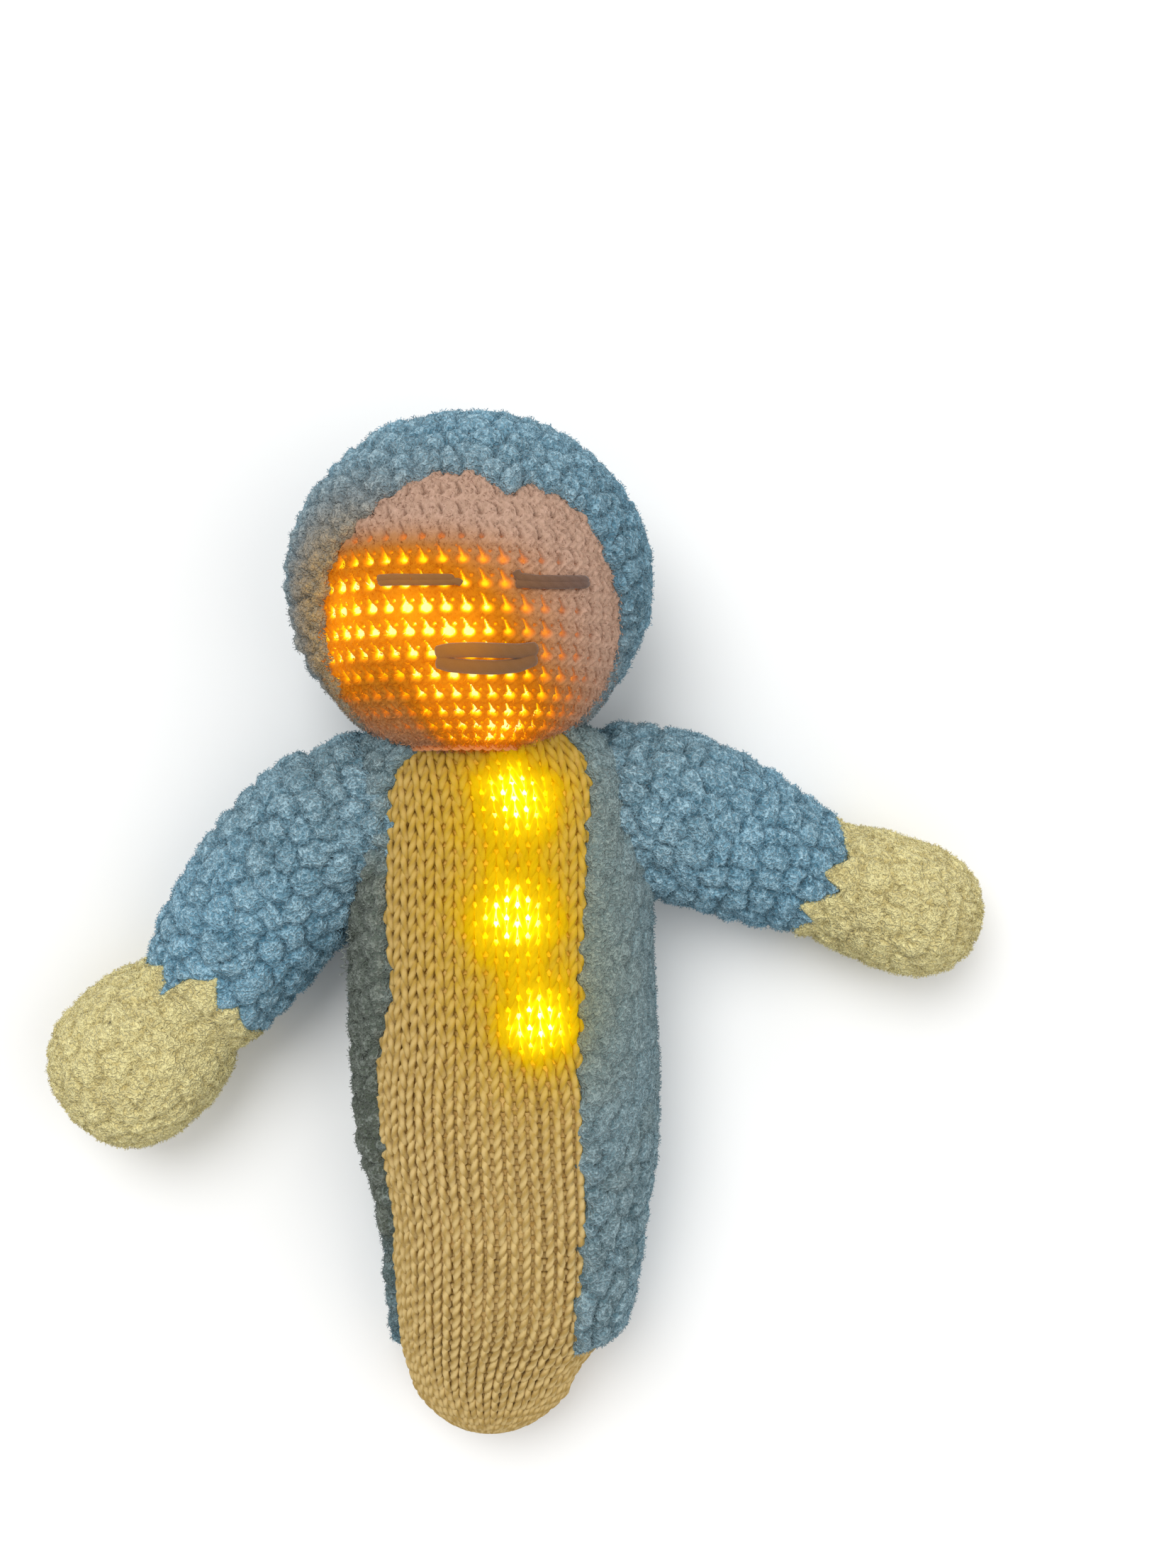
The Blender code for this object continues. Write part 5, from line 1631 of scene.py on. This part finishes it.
@dataclass(frozen=True)
class Fill:
    """Lumps of fill inside the body and the arms, let in round the battery pouch."""

    form: BodyForm
    finishes: Finishes
    glow: Glow
    body_depth: float = 0.0043
    arm_depth: float = 0.006
    floor: float = 0.004
    pouch_room: float = 0.0006
    neck_line: float = 0.057
    contrast: float = 1.7
    gain: float = 1.15

    def body(self) -> None:
        """The body's fill, bright over the lights."""
        points = self.form.point(round_turn(200)[None], np.linspace(0, 1, 150)[:, None])
        normals = vertex_normals(points, True)
        lumps = 0.0007 * soft_noise(points, 0.007, 31)
        points = points + normals * (lumps - self.body_depth)[..., None]
        low, high = (np.array(corner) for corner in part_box("battery_pouch"))
        outside = np.maximum(low - points, points - high)[..., :2].max(axis=-1) - self.pouch_room
        pocket = 1 - eased(0, self.pouch_room * 3, outside)
        floor = self.floor + pocket * (high[2] + self.pouch_room - self.floor)
        points[..., 2] = np.maximum(points[..., 2], floor)
        points[..., 1] -= 0.75 * np.maximum(points[..., 1] - self.neck_line, 0)
        lit = self.glow.at(points) * (points[..., 2] > FRONT_HEIGHT)
        values = {"glow": np.clip(lit**self.contrast * self.gain, 0, 1)}
        make_piece("body_fill", [grid_patch(points, True, values)], self.finishes.stuffing,
                   "body_stuffing")

    def arm(self, arm: Sleeve) -> None:
        """One arm's fill.

        Args:
            arm: the arm.
        """
        turn = round_turn(60)[None]
        points = arm.sleeve(turn, np.linspace(0, 0.96, 60)[:, None])
        lumps = 0.0007 * soft_noise(points, 0.008, 33)
        points = points + vertex_normals(points, True) * (lumps - self.arm_depth)[..., None]
        palm = arm.hand(turn, np.linspace(-0.66, 1, 40)[:, None])
        palm = palm - vertex_normals(palm, True) * self.arm_depth
        patches = [grid_patch(on_floor(p), True, {"glow": np.zeros(p.shape[:2])}) for p in (points, palm)]
        make_piece(f"{arm.side}_arm_fill", patches, self.finishes.stuffing,
                   f"{arm.side}_arm_stuffing")


@dataclass(frozen=True)
class Arm:
    """A sleeve's and a hand's crocheted surface."""

    shape: Sleeve
    pile: Pile
    finishes: Finishes
    tuck: float = 0.0014
    sunk_edge: tuple = (0.0036, 0.0034)

    def build(self) -> None:
        """Makes the sleeve and the hand."""
        shape, pile = self.shape, self.pile
        fine = np.linspace(0, 1, 400)
        walked = walk_along(shape.sleeve(np.zeros(400), fine))
        share = np.interp(np.arange(0, walked[-1] - 0.006, MESH_STEP), walked, fine)[:, None]
        turn = round_turn(184)[None]
        points = shape.sleeve(turn, share)
        rows = np.interp(np.arange(0.004, walked[-1], pile.pitch * 0.93), walked, fine)
        seeds = ring_seeds(shape.sleeve, rows, pile.pitch, pile.seed + 5)
        past = shape.along(share) - shape.cuff_at(turn)
        depth = self.sunk_edge[0] * eased(-0.0003, 0.0011, past)
        moved, values = pile.raised(points + shape.swelling(points), True, seeds, depth)
        values["tone"] = values["tone"] + 0.5 * (1 - eased(shape.root * 0.6, 0.75, share))
        values["glow"] = np.zeros(points.shape[:2])
        name = f"{shape.side}_sleeve"
        make_piece(f"{name}_chenille", furred(on_floor(moved), True, values, 30000, pile.seed),
                   self.finishes.blue, name)
        self.build_hand()

    def build_hand(self) -> None:
        """Makes the hand, whose first row of stitches meets the sleeve in a zigzag."""
        shape, pile = self.shape, self.pile
        turn = round_turn(230)
        low = (shape.cuff_at(turn) - self.tuck - shape.cuff - shape.reach) / shape.near
        fine = np.linspace(float(low.min()), 1, 400)
        walked = walk_along(shape.hand(np.zeros(400), fine))
        rows = int(walked[-1] / MESH_STEP)
        begin = np.interp(low, fine, walked)
        walk = begin[None] + np.linspace(0, 1, rows)[:, None] * (walked[-1] - begin)[None]
        way = np.interp(walk, walked, fine)
        points = shape.hand(turn[None], way)
        depth = self.sunk_edge[1] * (1 - eased(0, self.tuck * 1.15, walk - begin[None]))
        depth = depth - 0.0019 * (1 - eased(-0.010, 0.004, way * shape.near + shape.reach))
        rings = np.interp(np.arange(walked[-1], 0.002, -pile.pitch * 0.93), walked, fine)
        seeds = ring_seeds(shape.hand, rings, pile.pitch, pile.seed + 9)
        palm = replace(pile, rise=0.0012, clump=0.0050, clump_rise=0.0011, tuft=0.0010, sunk=0.0035)
        moved, values = palm.raised(points, True, seeds, depth)
        values["glow"] = np.zeros(points.shape[:2])
        name = f"{shape.side}_hand"
        make_piece(f"{name}_chenille", furred(on_floor(moved), True, values, 14000, pile.seed + 3),
                   self.finishes.cream, name)


# Head

# Embroidery by piece and CAD node: for each strand its places to the side and up from the face's
# middle, its lift and its radius, in millimetres
FEATURES = (
    ("left_eye_stitch", "left_eye", (
        ((-22.4, -18, -12, -6, -1.2), (-1.5, -1.4, -1.7, -1.8, -1.9), 0.9, 1.05),
        ((-22.2, -17, -11, -5, -0.4, 0.6), (-2.6, -2.6, -2.8, -2.9, -2.8, -3.5), 0.9, 0.95),
    )),
    ("right_eye_stitch", "right_eye", (
        ((14.4, 15.4, 20, 26, 34.0), (0.3, -1.4, -1.8, -1.5, -0.8), 1.0, 1.2),
        ((14.4, 16, 21, 27, 34.2), (-3.1, -3.1, -3.1, -2.8, -1.9), 1.0, 1.15),
    )),
    ("mouth_upper_stitch", "mouth_upper_strand", (
        ((-6.8, -3, 3, 9, 15, 20.6), (-21.6, -20.7, -20.5, -20.6, -20.7, -19.9), 1.1, 2.1),
    )),
    ("mouth_lower_stitch", "mouth_lower_strand", (
        ((-6.7, -3, 3, 9, 15, 20.3), (-23.2, -24.4, -24.9, -25.0, -24.4, -22.1), 1.0, 2.1),
    )),
)


@dataclass(frozen=True)
class Head:
    """Crocheted face ball, the hood round it, and the embroidered eyes and mouth.

    The hood looks down by tilt and to the side by turn, in degrees, and window is the angle from
    that way to its edge. A jowl of 2 would make the face's lower half round.
    """

    finishes: Finishes
    glow: Glow
    lamps: Array
    centre: tuple = (-0.008, 0.101, 0.052)
    radius: float = 0.045
    half_height: float = 0.0435
    chin_height: float = 0.0470
    jowl: float = 2.45
    hood_radius: float = 0.053
    hood_half_height: float = 0.050
    window: float = 62.0
    tilt: float = 22.0
    turn: float = 4.5
    thickness: float = 0.0042
    taper: float = 0.0034
    taper_reach: float = 32.0
    neck: float = 0.031
    stitch_width: float = 0.0054
    stitch_height: float = 0.00645
    pile: Pile = Pile(pitch=0.0080, rise=0.0028, clump=0.0040, sunk=0.0042, seed=41)

    def girth(self, height: Array) -> Array:
        """The face's half width at heights from -1 (chin) to 1 (crown), as a share of its widest."""
        power = np.where(height < 0, self.jowl, 2.0)
        return np.clip(1 - np.abs(height) ** power, 0, 1) ** (1 / power)

    def on_face(self, x: Array, y: Array, lift: Array | float) -> Array:
        """Points of the face as seen from the front.

        Args:
            x: places to the side of its middle.
            y: places above its middle.
            lift: height over its surface.

        Returns:
            The points.
        """
        half = np.where(y < 0, self.chin_height, self.half_height) + lift
        around = (self.radius + lift) * self.girth(y / half)
        z = np.sqrt(np.maximum(around**2 - x**2, 0))
        return np.stack(np.broadcast_arrays(x, y, z), axis=-1) + np.array(self.centre)

    def off_face(self, points: Array, margin: Array | float) -> Array:
        """Keeps points outside the face.

        Args:
            points: the points.
            margin: how far off the face they stay, as a share of its radius.

        Returns:
            The points, pushed out where they are nearer.
        """
        gaps = points - np.array(self.centre)
        low = gaps[..., 1] < 0
        power = np.where(low, self.jowl, 2.0)
        height = np.abs(gaps[..., 1]) / np.where(low, self.chin_height, self.half_height)
        around = np.hypot(gaps[..., 0], gaps[..., 2]) / self.radius
        size = (height**power + around**power) ** (1 / power)
        return np.array(self.centre) + gaps * np.maximum(1, (1 + margin) / size)[..., None]

    def face_at(self, side: Array, up: Array) -> Array:
        """Points of the face.

        Args:
            side: angles to the side.
            up: angles up.

        Returns:
            The points.
        """
        around = self.radius * self.girth(np.sin(up))
        y = np.where(up < 0, self.chin_height, self.half_height) * np.sin(up)
        points = np.broadcast_arrays(around * np.sin(side), y, around * np.cos(side))
        return np.stack(points, axis=-1) + np.array(self.centre)

    def holes(self, side: Array, up: Array) -> tuple[Array, Array]:
        """The crochet's stitches: a hole with a tail and a spark of light beside it.

        Args:
            side: angles to the side.
            up: angles up.

        Returns:
            How open the crochet is at each place, and the relief of its strands.
        """
        half = np.where(up < 0, self.chin_height, self.half_height)
        row = up * half / self.stitch_height - 0.077
        number = np.floor(row)
        column = side * self.radius * np.cos(up * 0.55) / self.stitch_width + 0.09 * number + 0.35
        u = (column - np.floor(column) - 0.5) * self.stitch_width
        v = (row - number - 0.5) * self.stitch_height
        cell = np.stack([np.floor(column), number, number * 0], axis=-1) * 1.0
        jitter = soft_noise(cell + 0.37, 0.73, 51)
        best = np.full(u.shape, 9.0)
        for du, dv in product((-1, 0, 1), repeat=2):
            a, b = u - du * self.stitch_width, v - dv * self.stitch_height
            blob = np.hypot(a / 0.00165, (b + 0.0004) / 0.00125)
            share = np.clip((-a * 0.0014 + b * 0.0034) / (0.0014**2 + 0.0034**2), 0, 1)
            tail = np.hypot(a + 0.0014 * share, b - 0.0034 * share) / (0.00072 - 0.00042 * share)
            spark = np.hypot((a - 0.0017) / 0.0006, (b - 0.0017) / 0.0005) + 0.25
            best = np.minimum(best, np.minimum(blob, np.minimum(tail + 0.35 * share, spark)))
        openness = np.clip(1.35 - best * (1 + 0.18 * jitter), 0, 1)
        slant = 0.9 * np.abs(v + 0.0006 * jitter)
        strands = np.cos((u * 0.86 + slant) / 0.0021 * TURN)
        ridge = 0.7 * strands - 0.5 * np.cos(TURN * (v / self.stitch_height + 0.5)) ** 3
        return openness, ridge

    def build_face(self) -> None:
        """Makes the face."""
        side, up = np.meshgrid(np.linspace(-1.62, 1.62, 340), np.linspace(-1.5, 1.2, 300))
        points = self.face_at(side, up)
        openness, ridge = self.holes(side, up)
        # Light fades towards the forehead, and on the cheek below the left eye
        warmth = self.glow.at(points) * (1 - 0.80 * eased(0.10, 0.50, up))
        cheek = eased(0.35, 0.65, -up) * eased(0.15, 0.55, -side)
        warmth = np.clip(warmth * (1 + 0.22 * eased(0.45, 0.70, -up) * (1 - cheek) - 0.16 * cheek), 0, 1)
        lit = warmth * (1 - 0.90 * eased(0.10, 0.36, up)) * (1 - 0.30 * cheek)
        size = 0.03 + 0.97 * eased(0.05, 0.42, lit)
        shown = np.clip((openness - (1 - size)) / size, 0, 1)
        fuzz = soft_noise(points, 0.0011, 52) * 0.5 + soft_noise(points, 0.0023, 53) * 0.5
        lift = 0.0002 + 0.00030 * ridge + 0.0004 * fuzz - 0.0013 * shown - 0.0003 * openness
        normals = unit(points - np.array(self.centre))
        moved = points + normals * lift[..., None]
        through_yarn = 0.62 * (0.5 * warmth + 0.5 * lit) ** 1.35
        through_holes = (0.14 + 0.80 * lit) * shown * np.minimum(1, lit * 6)
        # Painted shade in the crochet's holes, lighter on the strands' ridges
        values = {
            "crevice": np.clip(shown * (0.25 + 0.6 * lit) + 0.10 * openness - 0.10 * ridge, 0, 1),
            "glow": eased(0.10, 0.62, warmth),
            "shine": np.clip(through_yarn + through_holes, 0, 1),
        }
        patch = grid_patch(moved, False, values)
        front = patch.verts[:, 2] > self.centre[2] - 0.01
        patch.faces = patch.faces[front[patch.faces].all(axis=1)]
        shown_values = {name: value[front] for name, value in patch.values.items()}
        loose = fibres(patch.verts[front], normals.reshape(-1, 3)[front], shown_values, 16000, 0.0018, 54)
        make_piece("crochet_face", [patch, loose], self.finishes.crochet,
                   "face_ball")

    def hood_direction(self, azimuth: Array, angle: Array) -> Array:
        """Directions seen from the head's middle.

        Args:
            azimuth: angles round the way the hood looks, from the crown.
            angle: angles away from it.

        Returns:
            The directions.
        """
        look = unit(np.array([math.sin(math.radians(self.turn)), -math.sin(math.radians(self.tilt)),
                              math.cos(math.radians(self.tilt))]))
        crown = unit(np.array([0.0, 1.0, 0.0]) - look * look[1])
        right = np.cross(crown, look)
        angle = np.asarray(angle, float)[..., None]
        azimuth = np.asarray(azimuth, float)[..., None]
        return np.cos(angle) * look + np.sin(angle) * (np.cos(azimuth) * crown + np.sin(azimuth) * right)

    def hood_at(self, azimuth: Array, angle: Array) -> Array:
        """Points of the hood's outer ball.

        Args:
            azimuth: angles round the way the hood looks, from the crown.
            angle: angles away from it.

        Returns:
            The points.
        """
        way = self.hood_direction(azimuth, angle)
        size = np.array([self.hood_radius, self.hood_half_height, self.hood_radius])
        return way / np.linalg.norm(way / size, axis=-1, keepdims=True) + np.array(self.centre)

    def rim(self, azimuth: Array) -> Array:
        """The hood's edge, ragged, with a small peak over the forehead and clear of the neck.

        Args:
            azimuth: angles round the way the hood looks, from the crown.

        Returns:
            The edge's angle away from that way.
        """
        base = np.full(azimuth.shape, math.radians(self.window + 5.5))
        lobes = np.abs(np.sin(azimuth * 14.5 + 0.4))
        base = base - math.radians(3.2) * lobes
        ring = np.stack([np.cos(azimuth), np.sin(azimuth), azimuth * 0], axis=-1)
        base = base + math.radians(2.4) * soft_noise(ring, 0.35, 43)
        gap = (azimuth - math.radians(13.0) + math.pi) % TURN - math.pi
        base = base - math.radians(9.0) * np.exp(-((gap / math.radians(6.5)) ** 2))
        trial = np.radians(np.arange(60.0, 150.0, 1.0))
        spots = self.hood_at(azimuth[:, None], trial[None]) - np.array(self.centre)
        inside = (np.hypot(spots[..., 0], spots[..., 2]) < self.neck) & (spots[..., 1] < 0)
        last = inside.shape[1] - 1 - np.argmax(inside[:, ::-1], axis=1)
        reach = np.where(inside.any(axis=1), trial[last], 0)
        base = np.maximum(base, reach)
        kernel = np.hanning(9)
        padded = np.concatenate([base[-4:], base, base[:4]])
        return np.convolve(padded, kernel / kernel.sum(), mode="valid")

    def spill(self, points: Array) -> Array:
        """How much of the face's light falls on the hood beside it."""
        gaps = np.linalg.norm(points[..., None, :] - self.lamps, axis=-1).min(axis=-1)
        return 0.92 * np.exp(-((gaps / 0.035) ** 2.4))

    def build_hood(self) -> None:
        """Makes the hood with a rolled inner edge, lit beside the face's lamps."""
        azimuth = round_turn(420)
        start = self.rim(azimuth)
        roll = np.linspace(0, math.pi / 2, 9)[:-1, None]
        rows = int((math.pi - math.radians(self.window)) * self.hood_radius / MESH_STEP)
        back = np.linspace(0, 1, rows)[:, None]
        rolled = start - self.thickness * np.cos(roll) / self.hood_radius
        angle = np.concatenate([rolled, start + back * (math.pi - start)])
        depth = self.thickness * np.concatenate([1 - np.sin(roll), back * 0]) * np.ones(len(azimuth))
        points = self.hood_at(np.broadcast_to(azimuth, angle.shape), angle)
        ring_step = self.pile.pitch * 0.93 / self.hood_radius
        rings = np.arange(math.pi, math.radians(self.window - 8), -ring_step)
        seeds = ring_seeds(self.hood_at, rings, self.pile.pitch, 44)
        outward = unit(points - np.array(self.centre))
        moved, values = self.pile.raised(points, True, seeds)
        fade = np.clip(depth / self.thickness, 0, 1)
        past = eased(0, math.radians(self.taper_reach), angle - start[None])
        let_in = depth + self.taper * (1 - past)
        moved = points + (moved - points) * (1 - 0.5 * fade)[..., None] - outward * let_in[..., None]
        moved = self.off_face(moved, 0.022 - 0.040 * fade)
        values["glow"] = self.spill(moved)
        # Painted shade: the hood's right side is darker
        values["crevice"] = values["crevice"] + 0.22 * eased(0.018, 0.050, moved[..., 0] - self.centre[0])
        make_piece("hood_chenille", furred(on_floor(moved), True, values, 40000, 45),
                   self.finishes.blue, "hood")

    def build_fill(self) -> None:
        """Makes the head's fill."""
        points = self.face_at(round_turn(96)[None], np.linspace(-math.pi / 2, math.pi / 2, 64)[:, None])
        outward = unit(points - np.array(self.centre))
        points = points - outward * (0.0045 + 0.0006 * soft_noise(points, 0.008, 57))[..., None]
        make_piece("head_fill", [grid_patch(points, True, {"glow": self.glow.at(points)})],
                   self.finishes.stuffing, "head_stuffing")

    def strand(self, xs: Array, ys: Array, lift: float, radius: float) -> Patch:
        """One embroidered strand over the face, through places as seen from the front.

        Args:
            xs: places to the side of the face's middle.
            ys: places above it.
            lift: height over the face.
            radius: half width of the strand.

        Returns:
            The strand, with rounded ends.
        """
        share = np.linspace(0, 1, len(xs))
        fine = np.linspace(0, 1, 60)
        x, y = np.interp(fine, share, xs), np.interp(fine, share, ys)
        kernel = np.hanning(9) / np.hanning(9).sum()
        x = np.convolve(np.pad(x, 4, mode="edge"), kernel, mode="valid")
        y = np.convolve(np.pad(y, 4, mode="edge"), kernel, mode="valid")
        path = self.on_face(x, y, lift)
        facing = unit(path - np.array(self.centre))
        width = radius * np.sqrt(np.clip(np.minimum(fine, 1 - fine) / 0.045, 0.03, 1))
        return tube_patch(path, width, facing, 9, {"glow": self.glow.at(path)}, flatness=0.6)

    def build_features(self) -> None:
        """Makes the eyes and the mouth."""
        mm = 0.001
        for name, node, lines in FEATURES:
            patches = [
                self.strand(np.array(xs) * mm, np.array(ys) * mm, lift * mm, radius * mm)
                for xs, ys, lift, radius in lines
            ]
            make_piece(name, [joined(patches)], self.finishes.plum, node)

    def build_neck(self) -> None:
        """Makes the yarn loops that sew the head on."""
        turn = round_turn(240)
        patches = []
        for phase in (0.0, math.pi):
            wave = 0.0007 * np.sin(turn * 19 + phase)
            radius = 0.0178 + 0.0004 * np.cos(turn * 19 + phase)
            path = np.stack([radius * np.cos(turn), -0.0452 + wave, radius * np.sin(turn)], axis=1)
            facing = unit(np.stack([np.cos(turn), np.zeros_like(turn), np.sin(turn)], axis=1))
            path = path + np.array(self.centre)
            lit = np.clip(self.glow.at(path) * 1.2 + 0.1, 0, 1)
            patches.append(tube_patch(path, 0.0006, facing, 7, {"glow": lit}, closed=True))
        make_piece("neck_stitches", [joined(patches)], self.finishes.seam_peach,
                   "neck_seam")


# Things inside


@dataclass(frozen=True)
class Inside:
    """The battery pouch, the strips that close the flap, the arms' seams and the hard parts.

    An arm's seam lies on a ball of seam_radius about the shoulder's centre, seam_inset inwards.
    """

    finishes: Finishes
    seam_radius: float = 0.026
    seam_inset: float = 0.0185

    def cloth_copy(
        self, node: str, name: str, cloth: bpy.types.Material, rounding: float
    ) -> None:
        """A cloth piece of a CAD node's shape, with rounded edges and a woven surface.

        Args:
            node: the CAD node.
            name: the piece's name.
            cloth: its finish.
            rounding: radius of its edges.
        """
        source = frame["nodes"][node]
        mesh = source.data.copy()
        mesh.name = name
        mesh.materials.clear()
        mesh.materials.append(cloth)
        piece = bpy.data.objects.new(name, mesh)
        bpy.context.scene.collection.objects.link(piece)
        bevel = piece.modifiers.new("rounded", "BEVEL")
        bevel.width = rounding
        bevel.segments = 3
        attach(piece, source["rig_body"])
        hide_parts(node)
        LOG.info("%s: %d faces", name, len(mesh.polygons))

    def build(self) -> None:
        """Makes the cloth pieces and the arms' seams, and finishes the hard CAD nodes."""
        lining, tape = self.finishes.lining, self.finishes.tape
        self.cloth_copy("battery_pouch", "battery_pouch_cloth", lining, 0.0003)
        self.cloth_copy("hook_strip", "hook_strip_tape", tape, 0.0002)
        self.cloth_copy("loop_strip", "loop_strip_tape", tape, 0.0002)
        turn = round_turn(120)
        wave = 0.0004 * np.sin(turn * 18)
        across = math.sqrt(self.seam_radius**2 - self.seam_inset**2)
        ring = np.stack([wave - self.seam_inset, across * np.cos(turn), across * np.sin(turn)], axis=1)
        for arm in (LEFT_ARM, RIGHT_ARM):
            path = arm.world(ring)
            facing = unit(path - np.array(arm.shoulder))
            patch = tube_patch(path, 0.0006, facing, 7, {"glow": np.zeros(len(turn))}, closed=True)
            make_piece(f"{arm.side}_shoulder_stitches", [patch], self.finishes.seam_blue,
                       f"{arm.side}_shoulder_seam")
        for name, node in frame["nodes"].items():
            if node.hide_render:
                continue
            for place in node.material_slots:
                place.material = self.finishes.hard[Slot(place.material.name.split(".")[0])]
            LOG.info("%s: finished", name)


# Studio


@dataclass(frozen=True)
class Studio:
    """White floor, soft lamps and the camera."""

    eye: tuple = (0.0254, 0.0454, 0.590)
    vertical_view: float = 45.06
    sensor: float = 36.0
    floor_radius: float = 1.1
    lamps: tuple = (
        ("key", (-1.05, 2.10, 4.35), 3.3, 135.0),
        ("fill", (2.7, -0.3, 3.6), 3.6, 40.5),
    )
    aim: tuple = (0.0, 0.0, 0.03)
    even: float = 0.62

    def build_floor(self) -> None:
        """A round white floor that keeps the toy's shadow."""
        reach = self.floor_radius
        rim = [(reach * math.cos(a), reach * math.sin(a), 0.0) for a in round_turn(96)]
        mesh = bpy.data.meshes.new("floor")
        mesh.from_pydata(rim, [], [range(len(rim))])
        floor = bpy.data.objects.new("floor", mesh)
        bpy.context.scene.collection.objects.link(floor)
        # Matt studio paper: nearly white, with a barely seen cloudiness
        paint = Paint("studio_paper_white")
        clouds = paint.add("TexNoise", FIBRES | {"Scale": 2.5, "Detail": 1.0}, {"Vector": paint.place})
        colour = paint.add("ValToRGB", {"stops": ((0, "#f4f4f3"), (1, "#f8f8f7"))}, {0: clouds})
        mesh.materials.append(paint.finished({"Roughness": 0.9}, {"Base Color": colour}))

    def build_light(self) -> None:
        """A wide lamp overhead, a smaller one beside it and an even world."""
        for name, place, size, power in self.lamps:
            lamp = bpy.data.lights.new(name, "AREA")
            lamp.shape = "DISK"
            lamp.size = size
            lamp.energy = power
            holder = bpy.data.objects.new(name, lamp)
            holder.location = place
            way = Vector(self.aim) - Vector(place)
            holder.rotation_euler = way.to_track_quat("-Z", "Y").to_euler()
            bpy.context.scene.collection.objects.link(holder)
        world = bpy.data.worlds.new("studio")
        world.use_nodes = True
        tree = world.node_tree
        tree.nodes.clear()
        rays = add_node(tree, "LightPath").outputs
        larger = {"operation": "MAXIMUM"}
        seen = add_node(tree, "Math", larger, {0: rays["Is Camera Ray"], 1: rays["Is Glossy Ray"]})
        seen = add_node(tree, "Math", larger, {0: seen, 1: rays["Is Transmission Ray"]})
        even = add_node(tree, "Background", {"Color": "#ffffff", "Strength": self.even})
        white = add_node(tree, "Background", {"Color": "#ffffff", "Strength": 1.0})
        mix = add_node(tree, "MixShader", None, {0: seen, 1: even, 2: white})
        add_node(tree, "OutputWorld", None, {"Surface": mix})
        bpy.context.scene.world = world

    def build_camera(self) -> None:
        """The camera, straight above the toy."""
        data = bpy.data.cameras.new("camera")
        data.sensor_fit = "AUTO"
        data.sensor_width = self.sensor
        data.lens = self.sensor / 2 / math.tan(math.radians(self.vertical_view / 2))
        data.clip_start = 0.01
        data.clip_end = 20.0
        camera = bpy.data.objects.new("camera", data)
        camera.location = self.eye
        bpy.context.scene.collection.objects.link(camera)
        bpy.context.scene.camera = camera

    def build(self) -> None:
        """Makes all of it."""
        self.build_floor()
        self.build_light()
        self.build_camera()
        bpy.context.scene.view_settings.view_transform = "Standard"


def main() -> None:
    """Builds the toy's pieces in order, from the body out."""
    logging.basicConfig(level=logging.INFO, format="%(message)s")
    finishes, form, opening = Finishes.made(), BodyForm(), Opening()
    chest = np.array([centre_of(f"chest_light_{n}") for n in ("lower", "middle", "upper")])
    face = np.array([centre_of(f"face_light_{n}") for n in ("chin", "nose", "left_cheek", "temple", "jaw")])
    # Yarn shines as if its lamps lay just under it
    chest = chest + UP * YARN_DEPTH
    nearer = face + YARN_DEPTH * unit(face - np.array(Head.centre))
    body_glow = Glow(chest, 0.0112, (0.0212, 0.0206, 0.0285))
    Coat(form, opening, finishes, Glow(chest, 0.012, 0.029)).build()
    KnittedFront(form, opening, finishes, body_glow).build()
    fill = Fill(form, finishes, body_glow)
    fill.body()
    left_pile = Pile(pitch=0.0092, clump=0.0056, seed=61)
    right_pile = Pile(clump=0.0034, clump_rise=0.0011, sunk=0.0040, seed=71)
    for arm, pile in ((LEFT_ARM, left_pile), (RIGHT_ARM, right_pile)):
        fill.arm(arm)
        Arm(arm, pile, finishes).build()
    head = Head(finishes, Glow(nearer, 0.0068, 0.0235), face)
    head.build_face()
    head.build_hood()
    head.build_fill()
    head.build_features()
    head.build_neck()
    Inside(finishes).build()
    Studio().build()


if __name__ == "__main__":
    main()
    bpy.context.view_layer.update()
